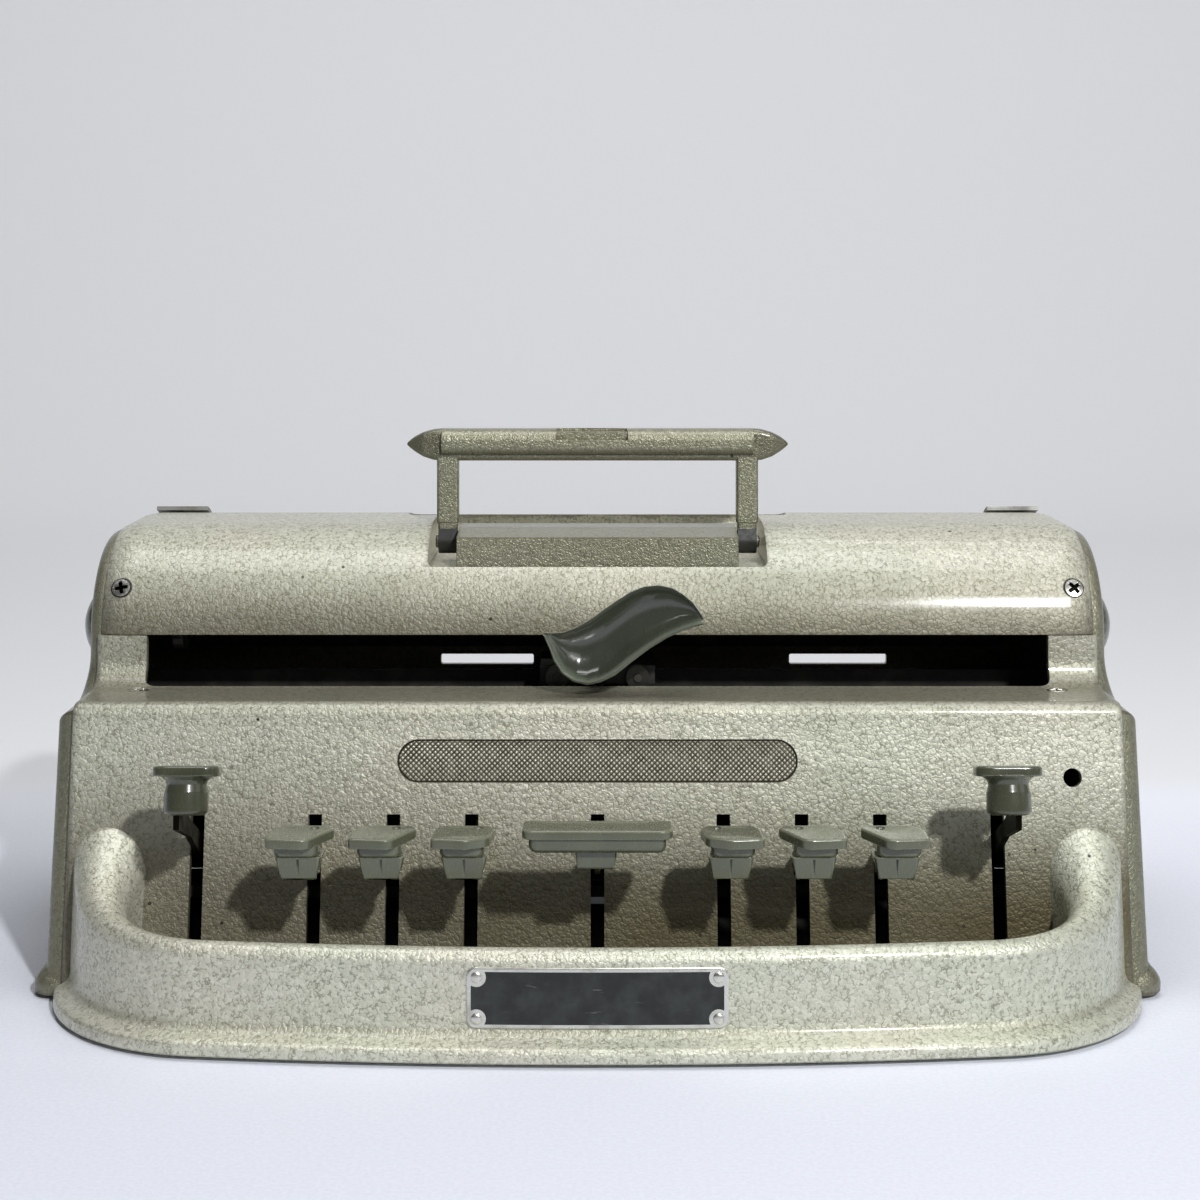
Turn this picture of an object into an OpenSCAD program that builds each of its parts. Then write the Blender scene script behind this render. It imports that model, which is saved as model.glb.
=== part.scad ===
// Manual braille writer: a cast case on a D-shaped palm rest, nine keys on a common shaft,
// an embossing carriage on rails behind the paper slot, a feed roller with two hand knobs,
// and a carrying handle that folds back into a pocket in the top cover.
// Frame: +X to the user's right, +Y to the back, +Z up, origin under the centre of the footprint.
// Units: millimetres.

/* [Case] */
// Width over the two end castings
body_w = 382; // [370:1:400]
// Overall depth, palm rest to margin stops
body_d = 229; // [222:1:236]
// Height of the top cover above the table
body_h = 157; // [154:1:162]
// Height of the paper ledge above the table
ledge_z = 101.3; // [99:0.1:102.5]
// Wall of the sheet and cast panels
skin_t = 3.5; // [3:0.1:4]
// Lean of the key panel from the vertical, in degrees
panel_lean = 10; // [8:0.5:11]
// Depth of the paper ledge, front edge to cover
ledge_d = 36.9; // [35:0.1:39]
// Height of the paper slot
slot_h = 18.2; // [17:0.1:19]
// Width of the paper slot
slot_w = 336.8; // [330:0.2:340]
// Front radius of the top cover
cover_r = 41; // [40:0.5:42]
// Reach of the ears beyond the end castings
ear_reach = 6; // [4:0.5:8]

/* [Palm rest] */
// Distance the palm rest reaches in front of the key panel
rest_reach = 62.3; // [60:0.1:66]
// Plan radius of the palm rest's front corners
rest_corner_r = 65; // [62:1:68]
// Plan radius of the palm rest's front edge
rest_front_r = 1150; // [1000:10:1300]
// Height of the rim in front of the keys
rim_z = 36; // [34:0.5:38]
// Height of the two horns beside the keys
horn_z = 60.5; // [56:0.5:63]
// Thickness of the rim
rim_w = 8; // [7.5:0.5:9]
// Width of the horns
horn_w = 29; // [26:0.5:31]
// Reach of the foot flange beyond the wall
flange_w = 8; // [7:0.5:9]

/* [Handle] */
// Length of the grip between its pointed ends
grip_l = 121; // [119:1:125]
// Length of each pointed end
grip_tip = 13.5; // [11:0.5:15]
// Height and depth of the grip
grip_h = 12.4; // [11:0.2:13]
// Height of the handle's top when it stands up
handle_top = 194; // [190:0.5:196]
// Width of a handle leg
leg_w = 8.5; // [7:0.5:9]
// Radius of the handle's hinge pins
handle_pin_r = 2.5; // [2:0.1:3]

/* [Keys] */
// Spacing of the dot keys
key_pitch = 27.6; // [27:0.1:28.5]
// Distance from the space key to the nearest dot key
key_gap = 44.4; // [43:0.1:46]
// Distance from the centre to each end key's lever
end_key_x = 141; // [140.5:0.1:144]
// Width of a dot key's cap
cap_w = 21.8; // [20:0.2:22.6]
// Depth of a dot key's cap
cap_d = 19.7; // [18:0.1:21]
// Height of the dot keys' tops
cap_z = 67.4; // [66:0.2:68.4]
// Width of the space key
space_w = 50; // [46:1:54]
// Height of the space key's top
space_z = 70.5; // [69:0.5:72]
// Height of the end keys' tops
end_cap_z = 89; // [87:0.5:90]
// Thickness of a key lever
lever_t = 2; // [1.6:0.1:2.4]
// Width of the lever slots in the key panel
key_slot_w = 4.8; // [4.2:0.1:5.2]
// Radius of the shaft that the keys turn on
key_shaft_r = 3; // [2.5:0.1:3.4]

/* [Paper feed] */
// Radius of the feed roller
roller_r = 9; // [8.8:0.1:9.4]
// Radius of the feed shaft
feed_shaft_r = 3; // [2.6:0.1:3.4]
// Radius of the hand knobs
knob_r = 15; // [13:0.5:17]
// Length of a hand knob
knob_l = 16.7; // [14:0.1:19]
// Radius of the line ratchet
ratchet_r = 10.4; // [9.8:0.1:10.6]
// Teeth on the line ratchet
ratchet_teeth = 24; // [18:1:30]

/* [Carriage] */
// Width of the carriage
carriage_w = 43; // [40:1:46]
// Radius of the carriage wheels
wheel_r = 4.3; // [4:0.1:4.4]
// Radius of the round rails
rail_r = 4; // [3.5:0.1:4.4]
// Tooth pitch of the escapement rack, one braille cell
rack_pitch = 6.2; // [6:0.1:6.5]
// Radius of the spring drum
drum_r = 22; // [20:0.5:24]

/* [Hidden] */
$fn = 48;
arc_n = 14;        // segments in a case arc
gap = 0.3;         // running gap between pieces that move past each other
fit = 0.1;         // radial clearance of a turning fit
eps = 0.5;         // overrun of a cut past the face that it opens

paint = [0.70, 0.69, 0.62];
plastic = [0.40, 0.42, 0.39];
steel = [0.62, 0.62, 0.60];
black = [0.08, 0.08, 0.08];

// Case, seen from the side, as depth and height
foot_t = 1.5;                                   // height of the feet under the case
pan_t = 2;                                      // thickness of the bottom pan
floor_z = foot_t + pan_t;                       // top of the bottom pan
front_y = -body_d / 2;                          // front of the palm rest
back_y = body_d / 2 - 4.5;                      // outside of the rear panel
panel_y = front_y + rest_reach;                 // foot of the key panel
lean_dy = tan(panel_lean);                      // depth gained per unit of height on the key panel
shoulder_y = panel_y + (ledge_z - floor_z) * lean_dy;
cover_y = shoulder_y + ledge_d;                 // front of the cover
cover_cy = cover_y + cover_r;                   // axis of the cover's front curve
cover_cz = body_h - cover_r;
cover_low_z = ledge_z + slot_h;                 // lower edge of the cover's front
shoulder_r = 5;
fillet_r = 9;
rear_r = 35;                                    // rear curve of the cover
rear_seam_z = 118;
inner_x = body_w / 2 - 8;                       // inner face of the end castings
web_t = 3.5;                                    // wall of an end casting
rim_in = 6;                                     // width of an end casting's outer lip
panel_x = inner_x + 4;                          // half the width of the key panel
cover_x = inner_x + 3;                          // half the width of the cover

// Depth of the key panel's front face at a height
function panel_face(z) = panel_y + (z - floor_z) * lean_dy;
// Points on an arc, counted from angle a0 to a1
function arc(cy, cz, r, a0, a1, n = arc_n) =
    [for (k = [0:n]) let (a = a0 + (a1 - a0) * k / n) [cy + r * cos(a), cz + r * sin(a)]];
// The shoulder, ledge and fillet of the case, inset by i
function shoulder_line(i) = let (r = max(shoulder_r, i + 0.5)) concat(
    arc(shoulder_y + r * (1 / cos(panel_lean) - lean_dy), ledge_z - r, r - i,
        180 - panel_lean, 90, 6),
    arc(cover_y - fillet_r, ledge_z + fillet_r, fillet_r + i, 270, 360, 8));
// The foot of the leaning front face, inset by i
function face_foot(i, z) = [panel_face(z) + i / cos(panel_lean), z];
// The whole end outline of the case, inset by i
function end_outline(i, z0) = concat(
    [face_foot(i, z0)],
    shoulder_line(i),
    arc(cover_cy, cover_cz, cover_r - i, 180, 90),
    arc(back_y - rear_r, body_h - rear_r, rear_r - i, 90, 0, 6),
    [[back_y - i, z0]]);
// The cover's outline, inset by i
function cover_line(i) = concat(
    arc(cover_cy, cover_cz, cover_r - i,
        180 - asin((cover_low_z - cover_cz) / (cover_r - i)), 90),
    arc(back_y - rear_r, body_h - rear_r, rear_r - i, 90, 0, 6),
    [[back_y - i, rear_seam_z]]);
function flip(points) = [for (k = [len(points) - 1:-1:0]) points[k]];

// Extrudes a depth-height outline across the machine, centred
module across(w) {
    rotate([90, 0, 90]) linear_extrude(w, center = true) children();
}
// Extrudes a depth-height outline from x0 to x1
module between(x0, x1) {
    translate([x0, 0, 0]) rotate([90, 0, 90]) linear_extrude(x1 - x0) children();
}
module rod_x(r, x0, x1, y, z) {
    translate([x0, y, z]) rotate([0, 90, 0]) cylinder(r = r, h = x1 - x0);
}
module rod_y(r, y0, y1, x, z) {
    translate([x, y1, z]) rotate([90, 0, 0]) cylinder(r = r, h = y1 - y0);
}
module block(x0, x1, y0, y1, z0, z1) {
    translate([x0, y0, z0]) cube([x1 - x0, y1 - y0, z1 - z0]);
}
module both_sides() {
    children();
    mirror([1, 0, 0]) children();
}

// ---- Screws and their seats ----
screw_head_r = 4;
screw_r = 1.9;
screw_l = 10;
cover_screw_x = inner_x - 3.8;
cover_screw_a = 150.3;                          // place on the cover's front curve
ledge_screw_x = slot_w / 2 + 0.4;
ledge_screw_y = cover_y - fillet_r - 3;
rear_screw_z = floor_z + 56.5;

// A countersunk cross-head screw, its head's face at the origin, pointing down
module screw() {
    difference() {
        union() {
            translate([0, 0, -2.2]) cylinder(r1 = screw_r, r2 = screw_head_r, h = 2.2);
            translate([0, 0, -screw_l]) cylinder(r = screw_r, h = screw_l - 2);
        }
        for (a = [0, 90]) rotate([0, 0, a]) cube([4.4, 1, 2.4], center = true);
    }
}
// The hole that the screw needs in a panel and in the boss behind it
module screw_seat() {
    translate([0, 0, -2.2 - fit])
        cylinder(r1 = screw_r + fit, r2 = screw_head_r + fit, h = 2.2 + fit);
    translate([0, 0, -screw_l - 1]) cylinder(r = screw_r + fit, h = screw_l + 1);
    cylinder(r = screw_head_r + fit, h = 1);
}
module at_cover_screw(s) {
    translate([s * cover_screw_x, cover_cy + cover_r * cos(cover_screw_a),
        cover_cz + cover_r * sin(cover_screw_a)])
        rotate([cover_screw_a - 90, 0, 0]) children();
}
module at_ledge_screw(s) {
    translate([s * ledge_screw_x, ledge_screw_y, ledge_z]) children();
}
module at_rear_screw(s) {
    translate([s * cover_screw_x, back_y, rear_screw_z]) rotate([-90, 0, 0]) children();
}
module case_screws() {
    color(steel) for (s = [-1, 1]) {
        at_cover_screw(s) screw();
        at_ledge_screw(s) screw();
        at_rear_screw(s) screw();
    }
}

// ---- Palm rest: a hollow casting carried round a D-shaped plan ----
rest_x = body_w / 2 - 1;
rest_cx = rest_x - rest_corner_r;               // centre of a front corner
rest_big_y = front_y + rest_front_r;
rest_cy = rest_big_y - sqrt(pow(rest_front_r - rest_corner_r, 2) - rest_cx * rest_cx);
rest_turn = 360 + atan2(rest_cy - rest_big_y, -rest_cx);   // where corner meets front
horn_turn = 188;                                // angle at which the horns start to fall
corner_n = 16;
front_n = 6;
rest_wall = 2.6;

// One station: centre x, centre y, radius, angle
rest_half = concat(
    [for (k = [0:corner_n - 1]) [-rest_cx, rest_cy, rest_corner_r,
        180 + (rest_turn - 180) * k / corner_n]],
    [for (k = [0:front_n]) [0, rest_big_y, rest_front_r,
        rest_turn + (270 - rest_turn) * k / front_n]]);
function fade(a, k) = exp(-max(a - horn_turn, 0) / k);
function rest_width(a) = rim_w + (horn_w - rim_w) * fade(a, 22);
function rest_height(a) = rim_z + (horn_z - rim_z) * fade(a, 16);
function rest_lean(a) = lean_dy * fade(a, 14);
// A point at inset i and height z from a station
function rest_point(s, i, z) = [s[0] + (s[2] - i) * cos(s[3]),
    s[1] + (s[2] - i) * sin(s[3]) + rest_lean(s[3]) * z, z];
// The outline of the section: flange, wall, rounded rim, then the hollow underneath
function rest_section(a) = let (w = rest_width(a), h = rest_height(a), b = min(w / 2, 14.5),
        c = flange_w + w / 2, t = rest_wall)
    concat(
        [[0, foot_t], [0, 5], [0.12 * flange_w, 6.1], [0.5 * flange_w, 7],
            [0.8 * flange_w, 7.9], [0.95 * flange_w, 8.8], [flange_w, 10.1]],
        [for (k = [0:10]) [c - w / 2 * cos(18 * k), h - b + b * sin(18 * k)]],
        [[flange_w + w, foot_t], [flange_w + w - t, foot_t]],
        [for (k = [0:10]) [c + (w / 2 - t) * cos(18 * k), h - b + (b - t) * sin(18 * k)]],
        [[flange_w + t, foot_t]]);
function rest_ring(s) = [for (p = rest_section(s[3])) rest_point(s, p[0], p[1])];
rest_rings = concat([for (s = rest_half) rest_ring(s)],
    [for (k = [len(rest_half) - 2:-1:0]) [for (p = rest_ring(rest_half[k])) [-p[0], p[1], p[2]]]]);

// A closed skin over a list of equal rings
module skin_over(rings) {
    n = len(rings[0]);
    m = len(rings);
    polyhedron(
        points = [for (r = rings) for (p = r) p],
        faces = concat(
            [[for (k = [0:n - 1]) k]],
            [for (s = [0:m - 2]) for (k = [0:n - 1]) let (j = (k + 1) % n)
                [s * n + k, (s + 1) * n + k, (s + 1) * n + j]],
            [for (s = [0:m - 2]) for (k = [0:n - 1]) let (j = (k + 1) % n)
                [s * n + k, (s + 1) * n + j, s * n + j]],
            [[for (k = [n - 1:-1:0]) (m - 1) * n + k]]));
}
// Everything behind the key panel's front face
module behind_panel() {
    across(body_w + 40) polygon([face_foot(0, 0), face_foot(0, horn_z + 20),
        [0, horn_z + 20], [0, 0]]);
}
module front_cowl() {
    color(paint) difference() {
        skin_over(rest_rings);
        behind_panel();
    }
}
module bottom_pan() {
    side_x = inner_x - gap;
    inner = [for (s = rest_half) let (p = rest_point(s, flange_w + rest_width(s[3]) + gap, 0))
        if (p[1] < panel_y - 1) [p[0], p[1]]];
    color(black) difference() {
        translate([0, 0, foot_t]) linear_extrude(pan_t) polygon(concat(
            [[-side_x, back_y - skin_t - gap], [-side_x, panel_y + skin_t + 1],
                [inner[0][0], panel_y + skin_t + 1]],
            inner,
            flip([for (p = inner) [-p[0], p[1]]]),
            [[-inner[0][0], panel_y + skin_t + 1], [side_x, panel_y + skin_t + 1],
                [side_x, back_y - skin_t - gap]]));
        for (x = [-60:20:60]) block(x - 3, x + 3, back_y - 55, back_y - 20, 0, floor_z + eps);
    }
}
foot_r = 9;
foot_at = [[rest_cx - 5, panel_y - 24], [inner_x - 18, back_y - 18]];
module rubber_feet() {
    color(black) both_sides() for (p = foot_at) translate([p[0], p[1], 0])
        cylinder(r1 = foot_r - 1, r2 = foot_r, h = foot_t);
}

// ---- Data plate on the palm rest ----
plate_w = 84.6;
plate_h = 19.8;
plate_z = 20.4;
plate_t = 0.8;
rivet_r = 1.2;
module plate_shape() {
    square([plate_w - 6, plate_h], center = true);
    square([plate_w, plate_h - 6], center = true);
    plate_corners(3) circle(r = 3);
}
module plate_corners(d) {
    for (x = [-1, 1]) for (y = [-1, 1])
        translate([x * (plate_w / 2 - d), y * (plate_h / 2 - d)]) children();
}
module on_plate() {
    translate([0, front_y + flange_w, plate_z]) rotate([90, 0, 0]) children();
}
module data_plate() {
    color(black) on_plate() linear_extrude(plate_t) difference() {
        plate_shape();
        plate_corners(3.2) circle(r = rivet_r);
    }
}
module plate_rivets() {
    color(steel) on_plate() plate_corners(3.2) {
        cylinder(r = rivet_r, h = plate_t + 0.1);
        translate([0, 0, plate_t]) cylinder(r1 = 1.7, r2 = 1, h = 0.7);
    }
}

// ---- End castings ----
key_y = panel_y + 40.2;                         // shaft of the keys
key_z = floor_z + 40.5;
head_y = cover_y + 22;                          // upper rail of the carriage
head_z = ledge_z + 22.7;
feed_y = cover_y + 54.5;                        // feed roller and its pressure rollers
feed_z = ledge_z + 13.7;
rear_rail_y = feed_y + 15.5;
rear_rail_z = feed_z - 25;
rear_rail_r = 3;
press_r = 4.2;
press_z = feed_z + roller_r + press_r + gap;
press_shaft_r = 2.5;
margin_y = back_y - 12;                         // rod of the margin stops
margin_z = ledge_z + 6.7;
margin_r = 2.5;
release_y = back_y - rear_r;                    // pivot of the paper release levers
release_z = body_h - rear_r;
release_pin_r = 2.5;
rod_end = inner_x + web_t - 1;                  // fixed rods end inside the castings
bush_r = 6;
hole_x = panel_x - 18.8;                        // adjustment hole in the key panel
hole_z = ledge_z - 25.5;
drum_x = inner_x - 33;                          // spring drum on the rear panel
drum_z = key_z + 18;
drum_stud_r = 3;
bore_list = [[key_y, key_z, key_shaft_r + 0.05], [head_y, head_z, rail_r + 0.05],
    [rear_rail_y, rear_rail_z, rear_rail_r + 0.05], [margin_y, margin_z, margin_r + 0.05],
    [feed_y, press_z, press_shaft_r + fit]];
ear_r = 7;

module span(s, x0, x1) { between(min(s * x0, s * x1), max(s * x0, s * x1)) children(); }
module side_rod(s, r, x0, x1, y, z) { rod_x(r, min(s * x0, s * x1), max(s * x0, s * x1), y, z); }
module side_block(s, x0, x1, y0, y1, z0, z1) {
    block(min(s * x0, s * x1), max(s * x0, s * x1), y0, y1, z0, z1);
}
module ear(s, y) {
    translate([s * ((body_w / 2 + ear_reach - ear_r)), y, foot_t]) {
        cylinder(r = ear_r, h = 5);
        translate([0, 0, 5]) cylinder(r1 = ear_r, r2 = 3.5, h = 6.5);
    }
}
module side_plate(s) {
    difference() {
        union() {
            difference() {
                span(s, inner_x, body_w / 2) polygon(end_outline(skin_t, foot_t));
                span(s, inner_x + web_t, body_w / 2 + eps)
                    polygon(end_outline(skin_t + rim_in, foot_t + rim_in));
            }
            // Bosses round the bores and under the screws
            for (b = bore_list)
                side_rod(s, b[2] + 2.5, inner_x - 2, inner_x + eps, b[0], b[1]);
            side_rod(s, bush_r + 3, inner_x - 2, inner_x + eps, feed_y, feed_z);
            side_rod(s, release_pin_r + 2, inner_x - 4, inner_x + eps, release_y, release_z);
            side_rod(s, release_pin_r, inner_x - 14, inner_x + eps, release_y, release_z);
            at_cover_screw(s) translate([0, 0, -11.8]) cylinder(r = 4.7, h = 11.4 - skin_t);
            side_block(s, ledge_screw_x - 5, inner_x + eps, ledge_screw_y - 5,
                ledge_screw_y + 5, ledge_z - 16, ledge_z - skin_t);
            side_block(s, cover_screw_x - 5, inner_x + eps, back_y - 15, back_y - skin_t,
                rear_screw_z - 5, rear_screw_z + 5);
            ear(s, panel_y + 12);
            ear(s, back_y - 16);
        }
        for (b = bore_list) side_rod(s, b[2], inner_x - 3, inner_x + web_t + 1, b[0], b[1]);
        side_rod(s, bush_r + 0.05, inner_x - 3, inner_x + web_t + 1, feed_y, feed_z);
        at_cover_screw(s) screw_seat();
        at_ledge_screw(s) screw_seat();
        at_rear_screw(s) screw_seat();
    }
}
module right_side_plate() { color(paint) side_plate(1); }
module left_side_plate() { color(paint) side_plate(-1); }

// ---- Key panel with the paper ledge and the posts beside the slot ----
recess_w = 142;
recess_h = 15;
recess_z = ledge_z - 19.8;
recess_t = 0.8;
slot_y = cover_y - 6.7;                         // front edge of the paper slot
dot_slot = [floor_z + 8.5, cap_z - 4];
space_slot = [floor_z + 8.5, space_z - 7.1];
end_slot = [floor_z + 8.5, end_cap_z - 14];
key_xs = [for (s = [-1, 1]) for (k = [0:2]) s * (key_gap + k * key_pitch)];

module on_face(x, z) {
    translate([x, panel_face(z), z]) rotate([90 - panel_lean, 0, 0]) children();
}
module stadium(w, h) {
    square([w - h, h], center = true);
    for (s = [-1, 1]) translate([s * (w - h) / 2, 0]) circle(d = h);
}
module round_rect(x0, x1, y0, y1, r) {
    translate([x0 + r, y0]) square([x1 - x0 - 2 * r, y1 - y0]);
    translate([x0, y0 + r]) square([x1 - x0, y1 - y0 - 2 * r]);
    for (x = [x0 + r, x1 - r]) for (y = [y0 + r, y1 - r]) translate([x, y]) circle(r = r);
}
module key_slot(x, range) {
    block(x - key_slot_w / 2, x + key_slot_w / 2, panel_y - 4, shoulder_y + 4,
        range[0], range[1]);
}
module front_panel() {
    color(paint) difference() {
        across(2 * panel_x) polygon(concat(
            [face_foot(0, floor_z)], shoulder_line(0),
            [[cover_y, cover_low_z - gap], [cover_y + skin_t, cover_low_z - gap]],
            flip(shoulder_line(skin_t)), [face_foot(skin_t, floor_z)]));
        translate([0, 0, ledge_z - skin_t - eps]) linear_extrude(slot_h + skin_t + 2 * eps)
            round_rect(-slot_w / 2, slot_w / 2, slot_y, cover_y + 20, 4);
        key_slot(0, space_slot);
        for (x = key_xs) key_slot(x, dot_slot);
        for (s = [-1, 1]) key_slot(s * end_key_x, end_slot);
        on_face(0, recess_z) translate([0, 0, -recess_t])
            linear_extrude(2) stadium(recess_w, recess_h);
        on_face(hole_x, hole_z) translate([0, 0, -skin_t - 1]) cylinder(r = 3.3, h = skin_t + 2);
        for (s = [-1, 1]) at_ledge_screw(s) screw_seat();
    }
}

// ---- Top cover with the pocket for the handle ----
handle_y = cover_y + 36;                        // handle's hinge
handle_z = body_h - 7;
grip_z = handle_top - grip_h / 2;
leg_x = grip_l / 2 - 6.5;                       // inner face of a leg
pocket_z = handle_z - grip_h / 2 - 1.3;         // floor of the pocket
pocket_x = leg_x + leg_w + 2;
pocket_y = cover_y + 10.5;
grip_y0 = handle_y + grip_z - handle_z - grip_h / 2 - 1.6;   // wide part of the pocket
grip_y1 = grip_y0 + grip_h + 5.6;
tray_t = 3;
release_x = inner_x - 9.5;                      // middle of a release lever
release_t = 3;
release_turn = 22;
release_rest = 50;

module sector(y, z, r, a0, a1) {
    polygon(concat([[y, z]], arc(y, z, r, a0, a1, 6)));
}
module pocket_plan(grow) {
    translate([-pocket_x - grow, pocket_y - grow])
        square([2 * (pocket_x + grow), grip_y1 - pocket_y + 2 * grow - 4]);
    round_rect(-grip_l / 2 - grip_tip - 2.5 - grow, grip_l / 2 + grip_tip + 2.5 + grow,
        grip_y0 - grow, grip_y1 + grow, 4);
}
module top_cover() {
    color(paint) difference() {
        union() {
            across(2 * cover_x) polygon(concat(cover_line(0), flip(cover_line(skin_t))));
            intersection() {
                across(2 * cover_x) polygon(concat(cover_line(0),
                    [[cover_y, rear_seam_z]]));
                translate([0, 0, pocket_z - tray_t])
                    linear_extrude(body_h - pocket_z + tray_t) pocket_plan(tray_t);
            }
        }
        translate([0, 0, pocket_z]) linear_extrude(body_h) pocket_plan(0);
        for (s = [-1, 1]) {
            at_cover_screw(s) screw_seat();
            span(s, release_x - release_t / 2 - 1, release_x + release_t / 2 + 1)
                sector(release_y, release_z, rear_r + 5, release_rest - 8,
                    release_rest + release_turn + 8);
        }
    }
}

// ---- Rear panel ----
window_z = [ledge_z - 11.5, ledge_z - 7.3];
module rear_panel() {
    color(paint) difference() {
        union() {
            block(-cover_x, cover_x, back_y - skin_t, back_y, floor_z, rear_seam_z - gap);
            rod_y(9, back_y - skin_t - 6, back_y - skin_t + eps, drum_x, drum_z);
            rod_y(drum_stud_r, back_y - skin_t - 31, back_y - skin_t, drum_x, drum_z);
        }
        for (w = [[-66, -27], [81, 122]])
            block(w[0], w[1], back_y - skin_t - 1, back_y + 1, window_z[0], window_z[1]);
        translate([0, back_y + 1, margin_z]) rotate([90, 0, 0])
            linear_extrude(skin_t + 2) stadium(2 * (inner_x - 31), 8);
        for (s = [-1, 1]) at_rear_screw(s) screw_seat();
    }
}

// ---- Carrying handle ----
leg_t = 6.5;
bracket_x = leg_x - 0.5;
module handle_grip() {
    color(paint) difference() {
        union() {
            between(-grip_l / 2, grip_l / 2) translate([handle_y, grip_z])
                round_rect(-grip_h / 2, grip_h / 2, -grip_h / 2, grip_h / 2, 4);
            both_sides() translate([grip_l / 2, handle_y, grip_z]) rotate([0, 90, 0])
                cylinder(r1 = grip_h / 2 - 0.3, r2 = 2, h = grip_tip);
        }
        block(-16, 12, handle_y - grip_h / 2 - 1, handle_y - grip_h / 2 + 2.5,
            handle_top - 4, handle_top + 1);
    }
}
module handle_legs() {
    color(paint) both_sides() difference() {
        union() {
            rod_x(5, leg_x, leg_x + leg_w, handle_y, handle_z);
            block(leg_x, leg_x + leg_w, handle_y - leg_t / 2, handle_y + leg_t / 2,
                handle_z, handle_top - grip_h);
        }
        rod_x(handle_pin_r + fit, leg_x - 1, leg_x + leg_w + 1, handle_y, handle_z);
    }
}
module handle_bracket() {
    color(paint) {
        across(2 * bracket_x) polygon([[pocket_y + 1.5, pocket_z],
            [pocket_y + 1.5, handle_z + 3.9], [pocket_y + 3, handle_z + 4.6],
            [handle_y - 7, body_h - 0.6], [handle_y + 6, body_h - 0.6],
            [handle_y + 7, body_h - 1.6], [handle_y + 7, pocket_z]]);
        both_sides() rod_x(handle_pin_r, bracket_x - eps, leg_x + leg_w + 0.6,
            handle_y, handle_z);
    }
}

// ---- Paper feed: roller, knobs and ratchet on one shaft ----
bush_end = inner_x + web_t + 0.5;
knob_x = bush_end + gap;
roller_x = inner_x - 23;
ratchet_x = -roller_x - 4;
module feed_shaft() {
    end = knob_x + knob_l - 5;
    color(steel) rod_x(feed_shaft_r, -end, end, feed_y, feed_z);
}
module feed_roller() {
    color(black) difference() {
        rod_x(roller_r, -roller_x, roller_x, feed_y, feed_z);
        rod_x(feed_shaft_r + 0.05, -roller_x - 1, roller_x + 1, feed_y, feed_z);
    }
}
module feed_knob() {
    translate([knob_x, feed_y, feed_z]) rotate([0, 90, 0]) difference() {
        rotate_extrude() polygon(concat(
            [[0, 0], [knob_r - 3, 0], [knob_r - 1, 1.5], [knob_r, 4], [knob_r, knob_l * 0.42]],
            [for (a = [15:15:75]) [knob_r * cos(a) * 0.72 + knob_r * 0.28 * (1 - a / 90),
                knob_l * (0.42 + 0.58 * sin(a))]],
            [[2.5, knob_l], [0, knob_l]]));
        translate([0, 0, -1]) cylinder(r = feed_shaft_r + 0.05, h = knob_l - 5 + 1);
        for (a = [0:30:330]) rotate([0, 0, a]) translate([knob_r + 0.7, 0, -1])
            cylinder(r = 1.8, h = knob_l * 0.62 + 1, $fn = 24);
    }
}
module right_feed_knob() { color(black) feed_knob(); }
module left_feed_knob() { color(black) mirror([1, 0, 0]) feed_knob(); }
module line_ratchet() {
    step = 360 / ratchet_teeth;
    color(steel) difference() {
        union() {
            between(ratchet_x - 4, ratchet_x) translate([feed_y, feed_z]) polygon([
                for (k = [0:ratchet_teeth - 1]) for (t = [[0, 0], [0.8, 1.6]])
                    let (a = step * (k + t[0]), r = ratchet_r - 1.6 + t[1])
                        [r * cos(a), r * sin(a)]]);
            rod_x(6, ratchet_x - 0.5, ratchet_x + 3.7, feed_y, feed_z);
        }
        rod_x(feed_shaft_r + 0.05, ratchet_x - 5, ratchet_x + 5, feed_y, feed_z);
    }
}
module shaft_bushes() {
    color([0.72, 0.60, 0.32]) both_sides() difference() {
        rod_x(bush_r, inner_x - 2.5, bush_end, feed_y, feed_z);
        rod_x(feed_shaft_r + fit, inner_x - 4, bush_end + 1, feed_y, feed_z);
    }
}
module pressure_rollers() {
    color(steel) {
        rod_x(press_shaft_r, -rod_end, rod_end, feed_y, press_z);
        both_sides() for (x = [25, 100]) rod_x(press_r, x, x + 50, feed_y, press_z);
    }
}
module release_lever() {
    top = rear_r + 1.3;                         // the tab rides this far from the pivot
    difference() {
        union() {
            rod_x(release_pin_r + 3, release_x - release_t / 2, release_x + release_t / 2,
                release_y, release_z);
            between(release_x - release_t / 2, release_x + release_t / 2)
                translate([release_y, release_z]) {
                    rotate(release_rest) translate([0, -3]) square([top + 0.8, 6]);
                    rotate(165) translate([0, -2]) square([11, 4]);
                }
            between(release_x - 13, release_x + 8) polygon(concat(
                arc(release_y, release_z, top, release_rest - 4, release_rest + 26, 8),
                arc(release_y, release_z, top + 1.6, release_rest + 26, release_rest - 4, 8)));
        }
        rod_x(release_pin_r + fit, release_x - 5, release_x + 5, release_y, release_z);
    }
}
module right_release_lever() { color(steel) release_lever(); }
module left_release_lever() { color(steel) mirror([1, 0, 0]) release_lever(); }

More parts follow.
